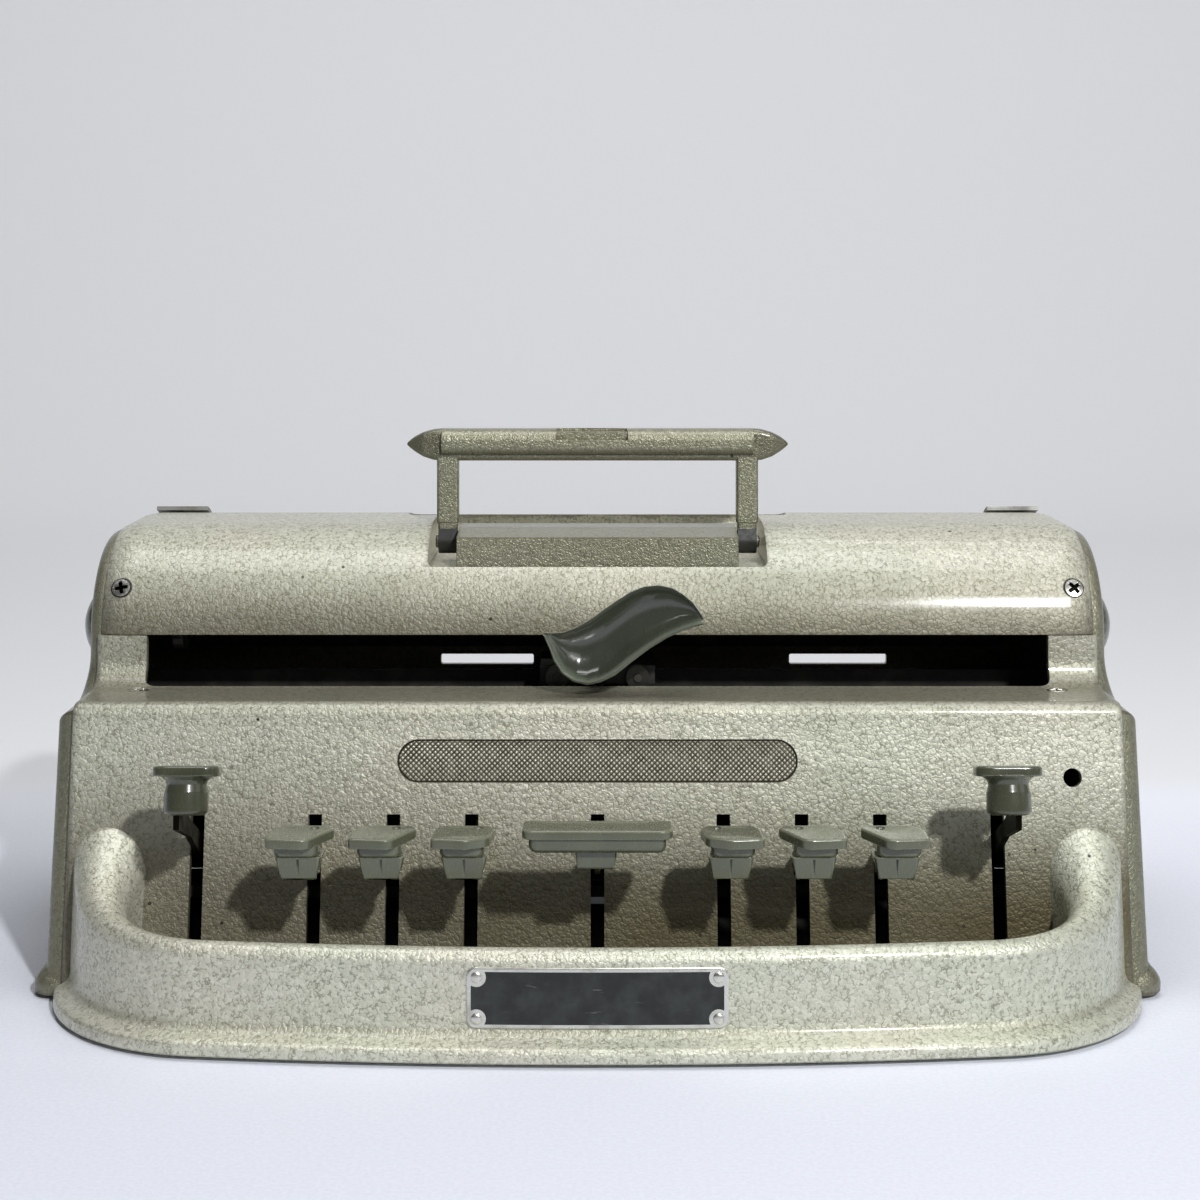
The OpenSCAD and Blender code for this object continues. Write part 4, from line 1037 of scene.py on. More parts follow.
# ---- The case ------------------------------------------------------------------------------------
@dataclass
class PalmRest:
    """The D-shaped palm rest: one hollow section carried round the plan of the case.

    The plan is a quarter circle of radius 65 at each front corner, joined by a front edge of
    radius 1150. At plan angle a the section's height and width fall from the two horns to the
    rim as exp(-(a - start) / k).

    Attributes:
        corner_r: Radius of the plan's corners.
        front_r: Radius of its front edge.
        flange: How far the foot stands out from the wall.
        rim: Width and height of the section at the front.
        horn: Width and height of the section at the horns.
        start: Plan angle in degrees at which the horns begin to fall.
        fades: k in degrees for the width, the height and the foot.
        wall: Thickness of the casting.
    """

    corner_r: float = 65.0
    front_r: float = 1150.0
    flange: float = 8.0
    rim: tuple[float, float] = (8.0, 35.0)
    horn: tuple[float, float] = (29.0, 63.2)
    start: float = 188.0
    fades: tuple[float, float, float] = (22.0, 16.0, 14.0)
    wall: float = 2.6

    def stations(self) -> tuple[Array, Array, Array, Array]:
        """Centre x, centre y, radius and angle of each station, from the left to the middle."""
        cx = SIZE.half_w - 1 - self.corner_r
        big_y = SIZE.front_y + self.front_r
        cy = big_y - math.sqrt((self.front_r - self.corner_r) ** 2 - cx**2)
        turn = 360 + math.degrees(math.atan2(cy - big_y, -cx))
        corner = np.linspace(172, turn, 72, endpoint=False)
        front = np.linspace(turn, 270, 40)
        a = np.concatenate([corner, front])
        is_front = np.arange(len(a)) >= len(corner)
        x = np.where(is_front, 0.0, -cx)
        y = np.where(is_front, big_y, cy)
        r = np.where(is_front, self.front_r, self.corner_r)
        return x, y, r, a

    def fade(self, a: Array) -> list[Array]:
        """Shares of the horns in the width, height and foot at plan angles a, each (n, 1)."""
        return [np.exp(-np.maximum(a - self.start, 0) / k)[:, None] for k in self.fades]

    def section(self, a: Array) -> tuple[Array, Array]:
        """Inset and height of each point of the section at plan angles a, as (stations, points)."""
        w, h, foot_share = self.fade(a)
        w = self.rim[0] + (self.horn[0] - self.rim[0]) * w
        h = self.rim[1] + (self.horn[1] - self.rim[1]) * h
        edge = self.flange - 3.2 * foot_share
        b, c, one = np.minimum(w / 2, 14.5), edge + w / 2, np.ones_like(w)
        foot = SIZE.foot_t
        flange = np.array([[0.5, foot], [0.12, foot + 0.2], [0, foot + 0.7], [0, 3.2], [0, 4.5],
            [0.25, 5.4], [0.9, 6.05], [2.0, 6.45], [4, 7.0], [5.4, 7.5], [6.6, 8.2],
            [7.4, 9.1], [7.85, 10.2], [8, 11.8], [8, 16], [8, 20]])
        t = np.radians(np.linspace(0, 180, 29))[None]
        top_i, top_z = c - w / 2 * np.cos(t), h - b + b * np.sin(t)
        in_i = c + (w / 2 - self.wall) * np.cos(t)
        in_z = h - b + (b - self.wall) * np.sin(t)
        inset = np.concatenate([edge / self.flange * flange[:, 0], top_i, edge + w, edge + w,
            edge + w - self.wall, in_i, edge + self.wall], axis=1)
        height = np.concatenate([one * flange[:, 1], top_z, one * 20, one * foot, one * foot, in_z,
            one * foot], axis=1)
        return inset, height

    def points(self) -> Array:
        """The whole surface as a (stations, points, 3) grid."""
        x, y, r, a = self.stations()
        inset, z = self.section(a)
        c, s = np.cos(np.radians(a))[:, None], np.sin(np.radians(a))[:, None]
        lean = SIZE.lean * self.fade(a)[2]
        left = np.stack([x[:, None] + (r[:, None] - inset) * c,
            y[:, None] + (r[:, None] - inset) * s + lean * z, z], axis=-1)
        right = left[-2::-1] * np.array([-1, 1, 1])
        return np.concatenate([left, right])

    def build(self) -> None:
        """Makes the palm rest, cut off along the key panel."""
        obj = Surface().grid(self.points(), wrap_cols=True).object("palm_rest")
        with edited(obj.data) as bm:
            cut = bmesh.ops.bisect_plane(bm, geom=bm.verts[:] + bm.edges[:] + bm.faces[:],
                plane_co=(0, SIZE.face(0.0) * MM, 0), clear_outer=True,
                plane_no=(0, math.cos(SIZE.tilt), -math.sin(SIZE.tilt)))
            edges = [e for e in cut["geom_cut"] if isinstance(e, bmesh.types.BMEdge)]
            bmesh.ops.edgenet_fill(bm, edges=edges)
        dress(obj, Kind.PAINT, "case", "front_cowl", wear=3.0, angle=50)


@dataclass
class Case:
    """The panels and castings round the works.

    Attributes:
        slot_w: Width of the key slots.
        slot_low: Height of their lower ends.
        key_slots: Place across and upper end of each.
        round_hole: Place across, height and radius of the round hole at the right.
        bosses: Depth, height and radius of the shafts' bosses inside the end castings.
    """

    slot_w: float = 4.8
    slot_low: float = 12.0
    key_slots: Sequence[tuple[float, float]] = ((0.0, 63.4), (-44.4, 63.4), (44.4, 63.4),
        (-72.0, 63.4), (72.0, 63.4), (-99.6, 63.4), (99.6, 63.4), (-141.0, 75.0), (141.0, 75.0))
    round_hole: tuple[float, float, float] = (168.2, 75.8, 3.3)
    bosses: Sequence[tuple[float, float, float]] = ((SIZE.feed_y, SIZE.feed_z, 9.5),
        (75.0, 122.0, 6.0), (-12.0, 44.0, 6.5), (23.945, 124.0, 7.0), (71.945, 90.0, 6.0),
        (98.0, 108.0, 5.5))

    @staticmethod
    def ends(half: float, radius: float, drop: float, n: int = 9) -> tuple[Array, Array]:
        """Places across the case and how far the surface has dropped there.

        The drop follows r - sqrt(r^2 - d^2), d from the start of the rounding, scaled to drop.

        Args:
            half: Half the width.
            radius: Length of the rounding.
            drop: How far the surface drops at the very end.
            n: Steps in the rounding.

        Returns:
            x from -half to half and the inset at each.
        """
        t = np.sin(np.linspace(0, 0.5 * np.pi, n))
        x = half - radius + radius * t
        inset = drop * (1 - np.sqrt(np.maximum(1 - t**2, 0)))
        inner = np.array([0.0, half * 0.5])
        xs = np.concatenate([-x[::-1], -inner[:0:-1], inner, x])
        return xs, np.concatenate([inset[::-1], np.zeros(3), inset])

    def panel(self) -> None:
        """The key panel, ledge and slot posts in one skin, with the slots cut out."""
        xs, drop = self.ends(SIZE.panel_x, 2.4, 1.3)

        def ring(inset: float) -> Array:
            """The skin's closed section, its outer line moved inwards by inset."""
            outer = np.concatenate([face_foot(inset, SIZE.floor_z), shoulder_line(inset, 12),
                [[SIZE.cover_y + inset, SIZE.cover_low_z - 0.3]]])
            inner = np.concatenate([[[SIZE.cover_y + SIZE.skin, SIZE.cover_low_z - 0.3]],
                shoulder_line(SIZE.skin, 12)[::-1], face_foot(SIZE.skin, SIZE.floor_z)])
            return np.concatenate([outer, inner])

        obj = Surface().loft([on_x(ring(i), x) for x, i in zip(xs, drop)]).object("key_panel")
        w = self.slot_w / 2
        cuts = [prism(rectangle(x - w, x + w, self.slot_low, high, 0.35, 3), standing,
            (-62.0, -20.0)) for x, high in self.key_slots]
        slot = rectangle(-SIZE.slot_x, SIZE.slot_x, SIZE.cover_y - 6.7, SIZE.cover_y + 20, 5.0, 10)
        cuts.append(prism(slot, upright, (SIZE.ledge_z - 6, SIZE.ledge_z + 40)))
        name = stadium(SIZE.name_w, SIZE.name_h, 28) + [0.0, up_face(SIZE.name_z)]
        cuts.append(prism(name, on_face, (-1.15, 2.0)))
        x, z, r = self.round_hole
        cuts.append(prism(arc(x, up_face(z), r, 0, 360, 32)[:-1], on_face, (-9.0, 3.0)))
        cuts += [turned([[-9, 2.0], [-2.3, 2.0], [0, 4.15], [2, 6.0]], 32, (0, 0, 1),
            (s * SIZE.ledge_screw_x, SIZE.cover_y - 12, SIZE.ledge_z)) for s in (-1, 1)]
        carve(obj, cuts)
        soften(obj, 0.5, 38)
        dress(obj, Kind.PAINT, "case", "front_panel", wear=2.6, angle=32)
        # Painted shade: the panel darker towards its foot, a little darker towards its left end,
        # and dark on the ledge under the cover
        x, y, z = spots(obj).T
        above = smoothstep(z, 103.0, 106.0)
        ledge = 0.72 * smoothstep(y, -39.0, -30.0) * (1 - above)
        far = 0.12 * (1 - smoothstep(x, -200.0, 60.0))
        paint_shade_and_tone(obj, np.maximum(1 - (1 - far) * smoothstep(z, 28.0, 95.0), ledge + 0.35 * above))

    def cover(self) -> None:
        """The top cover with its rounded ends, lever slots and the handle's pocket."""
        xs, drop = self.ends(SIZE.cover_x, 9.5, 2.9, 12)
        top = lambda i: np.concatenate([cover_front(i, SIZE.cover_low_z), rear_arc(i, 20)])
        outer = Surface().loft([on_x(np.vstack([top(i), [SIZE.back_y, SIZE.rear_seam_z]]), x)
            for x, i in zip(xs, drop)])
        inner_line = np.vstack([[SIZE.cover_y + SIZE.skin, 100.0], top(SIZE.skin),
            [SIZE.back_y - SIZE.skin, 100.0]])
        tray = prism(self.pocket(3.0), upright, (139.5, 170.0)).object("tray")
        solid = outer.object("cover_skin")
        whole = outer.object("whole")
        carve(solid, [Surface().loft([on_x(inner_line, x) for x in (-190, 190)])])
        carve(tray, [whole], "INTERSECT")
        carve(solid, [tray], "UNION")
        cuts = [prism(self.pocket(0.0), upright, (142.5, 175.0))]
        for s in (-1, 1):
            cuts += [self.lever_slot(s), self.screw_seat(s)]
        carve(solid, cuts)
        soften(solid, 0.55, 38)
        refine(solid, FINE_MM)
        # Painted shade: the cover's front darker, most towards its lower edge
        _, y, z = spots(solid).T
        front = 1 - smoothstep(y, 0.0, 30.0)
        paint_shade_and_tone(solid, front * (0.4 + 0.45 * (1 - smoothstep(z, 122.0, 146.0))))
        dress(solid, Kind.PAINT, "case", "top_cover", wear=3.0, angle=32)

    @staticmethod
    def pocket(grow: float) -> Array:
        """The handle pocket's outline in plan: a bay for the block in front of a wide one."""
        x0, x1 = 64.5 + grow, 76.5 + grow
        y0, y1, y2 = 12.445 - grow, 67.945 - grow, 85.945 + grow
        return rounded([[-x0, y0], [x0, y0], [x0, y1], [x1, y1], [x1, y2], [-x1, y2], [-x1, y1],
            [-x0, y1]], [2.2, 2.2, 1.5, 4, 4, 4, 4, 1.5], 6)

    @staticmethod
    def lever_slot(s: int) -> Surface:
        """The slot over one paper release lever, s = -1 at the left."""
        line = np.concatenate([rear_arc(-5, 12, 42, 80), rear_arc(15, 12, 80, 42)])
        x0, x1 = sorted((s * 171.0, s * 176.0))
        return Surface().loft([on_x(line, x0), on_x(line, x1)])

    @staticmethod
    def screw_seat(s: int) -> Surface:
        """The countersunk hole for one front screw of the cover."""
        out = SIZE.cover_screw
        at = SIZE.cover_axis + [s * SIZE.end_screw_x, 0, 0] + SIZE.cover_r * out
        return turned([[-9.0, 2.0], [-2.3, 2.0], [0.0, 4.3], [1.0, 5.2]], 40, out, at)

    def side(self, s: int) -> None:
        """One end casting: a rounded lip round a sunk field, with bosses and two ears.

        Args:
            s: -1 for the left one, 1 for the right one.
        """
        name = "left" if s < 0 else "right"
        t = np.radians(np.linspace(0, 90, 9))
        lip_i, lip_x = 3.0 + 4.9 * (1 - np.cos(t)), 186.0 + 5.0 * np.sin(t)
        inner_i, inner_x = 9.1 - 1.2 * np.cos(t[::-1]), 189.9 + 1.1 * np.sin(t[::-1])
        level = [(183.0, 3.0), *zip(lip_x, lip_i), *zip(inner_x, inner_i), (187.7, 10.2),
            (186.7, 10.6), (186.5, 11.4)]
        rings = [on_x(end_outline(i, SIZE.foot_t + max(i - 3.0, 0)), s * x) for x, i in level]
        for ring, (x, _) in zip(rings, level):
            bulge = 3.0 * min(max((x - 186.6) / 4.4, 0.0), 1.0)
            ring[:, 0] += s * bulge * (1 - smoothstep(ring[:, 2], 84.0, 112.0))
        obj = Surface().loft(rings).object(f"{name}_side")
        joins = [self.ear(s, SIZE.panel_y + 12), self.ear(s, SIZE.back_y - 16)]
        out, feed = (s, 0, 0), (0, SIZE.feed_y, SIZE.feed_z)
        joins += [turned([[180.5, 0.4 * r], [180.5, r - 0.4], [181, r], [184, r]], 32, out,
            (0, y, z)) for y, z, r in self.bosses]
        joins.append(turned([[185, 9.6], [187.3, 9.6], [187.9, 9.0], [188, 4]], 40, out, feed))
        joins.append(turned([[169, 2.3], [169.2, 2.5], [184, 2.5]], 24, out, (0, 75.0, 122.0)))
        carve(obj, joins, "UNION")
        carve(obj, [turned([[178, 6.1], [192, 6.1]], 40, out, feed)])
        dress(obj, Kind.DARK_PAINT, "case", f"{name}_side_plate", wear=3.0, angle=40)
        # Darker all over by 0.22, and more towards the foot
        paint_shade_and_tone(obj, 0.22 + 0.18 * (1 - smoothstep(spots(obj)[:, 2], 5.0, 60.0)))

    @staticmethod
    def ear(s: int, y: float) -> Surface:
        """A bell-shaped ear at the foot of an end casting."""
        line = np.array([[1.5, 0.5], [1.5, 8.4], [1.8, 8.8], [4.4, 8.9], [6.4, 8.4], [8.4, 7.0],
            [10.0, 5.4], [12.0, 4.2], [15.0, 3.2], [20, 2.2], [26, 0.5]])
        fine = np.concatenate([line[:3], resample(line[3:], 16, closed=False)])
        return turned(fine, 40, (0, 0, 1), (s * 190.0, y, 0))

    def rear(self) -> None:
        """The rear wall with its two see-through cuts, the margin slot and the drum's boss."""
        y0, y1 = SIZE.back_y - SIZE.skin, SIZE.back_y
        wall = prism(rectangle(-SIZE.cover_x, SIZE.cover_x, SIZE.floor_z, SIZE.rear_seam_z - 0.3),
            standing, (y0, y1)).object("rear_wall")
        boss = [[y0 - 6, 8.4], [y0 - 5.4, 9.0], [y0 + 1, 9.0]]
        stud = [[y0 - 31, 2.4], [y0 - 30.4, 3.0], [y0 + 1, 3.0]]
        back, drum = (0, 1, 0), (150.0, 0, 62.0)
        carve(wall, [turned(line, 32, back, drum) for line in (boss, stud)], "UNION")
        holes = [rectangle(x0, x1, 89.8, 94.0, 0.8) for x0, x1 in ((-66, -27), (81, 122))]
        holes.append(stadium(304, 8, 20) + [0, 108.0])
        cuts = [prism(hole, standing, (y0 - 3, y1 + 3)) for hole in holes]
        cuts += [turned([[-9.0, 2.0], [-2.3, 2.0], [0.0, 4.2], [1.0, 5.1]], 32, back,
            (s * SIZE.end_screw_x, SIZE.back_y, SIZE.rear_screw_z)) for s in (-1, 1)]
        carve(wall, cuts)
        soften(wall, 0.6, 38)
        dress(wall, Kind.PAINT, "case", "rear_panel", wear=2.6)
        # Painted shade on all but the wall's outer face: its inside and the walls of its cuts
        paint_shade_and_tone(wall, 1 - smoothstep(spots(wall)[:, 1], y1 - 1.2, y1 - 0.7))

    def build(self) -> None:
        """Makes every part of the case."""
        PalmRest().build()
        self.panel()
        self.cover()
        self.side(-1)
        self.side(1)
        self.rear()


# ---- Name recess, plate and screws ---------------------------------------------------------------
def bar_grid(width: float, height: float, r: float, rows: int, cols: int) -> tuple[Array, Array]:
    """An even grid over a rectangle with corners of radius r.

    The row at height v is w - r + sqrt(r^2 - (|v| - h + r)^2) wide to each side within the
    corners and w elsewhere, where w and h are half the width and height.

    Args:
        width: Width of the rectangle.
        height: Its height.
        r: Radius of its corners.
        rows: Rows of the grid.
        cols: Columns of the grid.

    Returns:
        The grid's x and v, each (rows, cols).
    """
    even = np.linspace(-1, 1, rows)
    v = height / 2 * (np.sin(0.5 * np.pi * even) if r * 2 >= height else even)
    over = np.maximum(np.abs(v) - (height / 2 - r), 0)
    half = width / 2 - r + np.sqrt(np.maximum(r**2 - over**2, (0.03 * r) ** 2))
    return np.linspace(-1, 1, cols)[None] * half[:, None], np.repeat(v[:, None], cols, 1)


def pad(name: str, pts: Array, low: float, place: Callable[[Array], Array], attribute: str,
        values: Array) -> bpy.types.Object:
    """A closed pad: a grid of points on top, a wall round it and a flat back.

    Args:
        name: Name of the object.
        pts: (rows, cols, 3) points (x, v, height).
        low: Height of the back.
        place: Puts (n, 3) such points into the machine.
        attribute: Name of a float attribute.
        values: Its values on the grid; it is 0 on the back.

    Returns:
        The new object.
    """
    rows, cols = pts.shape[:2]
    idx = np.arange(rows * cols).reshape(rows, cols)
    rim = np.concatenate([idx[0], idx[1:, -1], idx[-1, -2::-1], idx[-2:0:-1, 0]])
    back = pts.reshape(-1, 3)[rim].copy()
    back[:, 2] = low
    under = np.arange(len(rim)) + rows * cols
    surface = Surface().grid(place(pts.reshape(-1, 3)).reshape(pts.shape))
    surface.points.append(place(back))
    surface.faces.append(np.stack([rim, under, np.roll(under, -1), np.roll(rim, -1)], axis=1))
    surface.faces.append(under[None, ::-1])
    mesh = surface.mesh(name, weld=0.0)
    mark(mesh, attribute, np.concatenate([values.ravel(), np.zeros(len(rim))]))
    return add_object(name, mesh)


@dataclass
class NameRecess:
    """The bare knurled field sunk into the key panel.

    Two families of grooves cross at 90 degrees. Across each family the height is a triangle
    wave, and a point's height is the lower of the two, which leaves a field of small points.

    Attributes:
        pitch: Distance between grooves.
        floor: Depth of the grooves' bottoms, out of the panel.
        tips: Height of the points over them.
        rows: Rows of the grid.
        cols: Columns of the grid.
    """

    pitch: float = 1.36
    floor: float = -0.95
    tips: float = 0.42
    rows: int = 100
    cols: int = 760

    def build(self) -> None:
        """Makes the knurled field as one closed pad."""
        w, h = SIZE.name_w, SIZE.name_h
        r = h / 2
        x, y = bar_grid(w + 0.6, h + 0.6, r + 0.3, self.rows, self.cols)
        wave = lambda d: 1 - np.abs(2 * ((d / self.pitch) % 1) - 1)
        a = math.radians(45)
        tip = np.clip(1.5 * np.minimum(wave(x * math.cos(a) + y * math.sin(a)),
            wave(x * math.cos(a) - y * math.sin(a))), 0, 1)
        tip *= smoothstep(r - np.hypot(np.maximum(np.abs(x) - w / 2 + r, 0), y), 0.4, 0.9)
        pts = np.stack([x, y + up_face(SIZE.name_z), self.floor + self.tips * tip], axis=-1)
        obj = pad("name_recess", pts, self.floor - 0.5, on_face, "tip", tip)
        dress(obj, Kind.KNURL, "case", angle=180)


@dataclass
class DataPlate:
    """The bare plate on the palm rest, bent to the wall behind it, and its four rivets.

    A point at x lies r - sqrt(r^2 - x^2) behind the middle, with r the wall's radius. The
    attribute "ink" is 0.5 + d / 0.3, with d the distance in millimetres into the black field: a
    rectangle whose corners are bitten by circles round the rivets.
    """

    width: float = 84.6
    height: float = 19.8
    z: float = 20.4
    thick: float = 0.8
    corner: float = 3.0
    wall_r: float = 1142.0
    rivet_in: float = 3.2

    def place(self, pts: Array) -> Array:
        """Points (x, height over the middle, distance out) bent to the wall."""
        x, v, w = pts[..., 0], pts[..., 1], pts[..., 2]
        sag = self.wall_r - np.sqrt(self.wall_r**2 - x**2)
        return np.stack([x, SIZE.front_y + 8.0 - w + sag, self.z + v], axis=-1)

    def build(self) -> None:
        """Makes the plate and the rivets."""
        x, v = bar_grid(self.width, self.height, self.corner, 80, 340)
        in_x, in_v = self.width / 2 - np.abs(x), self.height / 2 - np.abs(v)
        side = np.minimum(in_x, in_v)
        edge = np.minimum(side, self.corner - np.hypot(np.maximum(self.corner - in_x, 0),
            np.maximum(self.corner - in_v, 0)))
        bite = np.hypot(in_x - self.rivet_in, in_v - self.rivet_in) - 3.1
        ink = np.clip(0.5 + np.minimum(side - 1.4, bite) / 0.3, -1, 2)
        pts = np.stack([x, v, self.thick - 0.25 * (1 - smoothstep(edge, 0.0, 0.4))], axis=-1)
        obj = pad("data_plate_face", pts, -0.25, self.place, "ink", ink)
        dress(obj, Kind.PLATE, "case", "data_plate", angle=50)
        rivets = Surface()
        t = np.radians(np.linspace(10, 88, 8))
        dome = np.vstack([[[1.2, 1.1], [-0.05, 1.1], [-0.05, 1.75], [-0.2, 1.8]],
            np.stack([-0.2 - 0.62 * np.sin(t), 1.8 * np.cos(t)], axis=1)])
        px, pv = self.width / 2 - self.rivet_in, self.height / 2 - self.rivet_in
        for sx, sv in ((-1, -1), (-1, 1), (1, -1), (1, 1)):
            at = self.place(np.array([sx * px, sv * pv, self.thick]))
            rivets.grid(spin(dome, 28, (0, 1, 0), at), wrap_cols=True, caps=True)
        dress(rivets.object("plate_rivet_heads"), Kind.BRIGHT, "case", "plate_rivets", angle=40)


@dataclass
class Screws:
    """Cross-head screws. A head's face is a dome 0.32 (1 - q^2) high, q the distance from the
    middle over the radius; inside either bar of the cross it lies 1.5 mm lower, with a slope
    0.25 mm wide."""

    radius: float = 3.7
    bar: float = 0.62
    reach: float = 2.35
    dome: float = 0.32

    def head(self, at: Array, out: Array, turn: float) -> Surface:
        """One screw with its shank.

        Args:
            at: Centre of the head's face.
            out: Unit direction in which the head faces.
            turn: Angle of the cross in degrees.

        Returns:
            The screw as a closed surface.
        """
        r = np.concatenate([np.linspace(0.02, 3.0, 30), np.linspace(3.1, self.radius, 6)])
        shank_r = [self.radius, self.radius - 0.12, 1.9, 1.9]
        t = np.linspace(0, 2 * np.pi, 120, endpoint=False)
        reach = np.append(r, shank_r)[:, None]
        px, py = reach * np.cos(t), reach * np.sin(t)
        bar = lambda p, q: smoothstep(self.bar - np.abs(p), -0.12, 0.13) * smoothstep(
            self.reach - np.abs(q), -0.15, 0.25)
        cross = np.maximum(bar(px, py), bar(py, px))
        h = self.dome * (1 - (reach / self.radius) ** 2) - 1.5 * cross
        h[-4:] = np.array([-0.12, -0.3, -2.4, -9.0])[:, None]
        u = np.cross(out, [1, 0, 0] if abs(out[0]) < 0.9 else [0, 1, 0])
        u /= np.linalg.norm(u)
        v = np.cross(out, u)
        a = math.radians(turn)
        u, v = u * math.cos(a) + v * math.sin(a), v * math.cos(a) - u * math.sin(a)
        pts = at + px[..., None] * u + py[..., None] * v + h[..., None] * out
        return Surface().grid(pts, wrap_cols=True, caps=True)

    def shade_in_head(self, points: Array, at: Array, out: Array) -> Array:
        """Painted shade on a head at its points: dark in the cross's recess and towards its border.
        """
        depth = (points - at) @ out
        away = np.linalg.norm(points - at - depth[:, None] * out, axis=1)
        rise = self.dome * (1 - (away / self.radius) ** 2)
        return np.clip(np.maximum(smoothstep(rise - depth, 0.15, 0.8),
            smoothstep(away, self.radius - 0.55, self.radius - 0.15)), 0.3, 1.0)

    def build(self) -> None:
        """Makes the six case screws as one piece."""
        front = SIZE.cover_screw
        places = []
        for s, turns in ((-1, (12, 40, 71)), (1, (38, 5, 20))):
            edge = [s * SIZE.end_screw_x, 0, 0]
            ledge = np.array([s * SIZE.ledge_screw_x, SIZE.cover_y - 12, SIZE.ledge_z - 0.2])
            rear = np.array([edge[0], SIZE.back_y - 0.2, SIZE.rear_screw_z])
            places += [(SIZE.cover_axis + edge + (SIZE.cover_r - 0.15) * front, front, turns[0]),
                (ledge, np.array([0, 0, 1.0]), turns[1]), (rear, np.array([0, 1.0, 0]), turns[2])]
        whole = Surface()
        dark = []
        for at, out, turn in places:
            part = self.head(at, out, turn)
            whole.add(part)
            dark.append(self.shade_in_head(part.points[0], at, out))
        obj = add_object("screws", whole.mesh("screws", weld=0.0))
        paint_shade_and_tone(obj, np.concatenate(dark))
        dress(obj, Kind.BRIGHT, "case", "case_screws", angle=30)


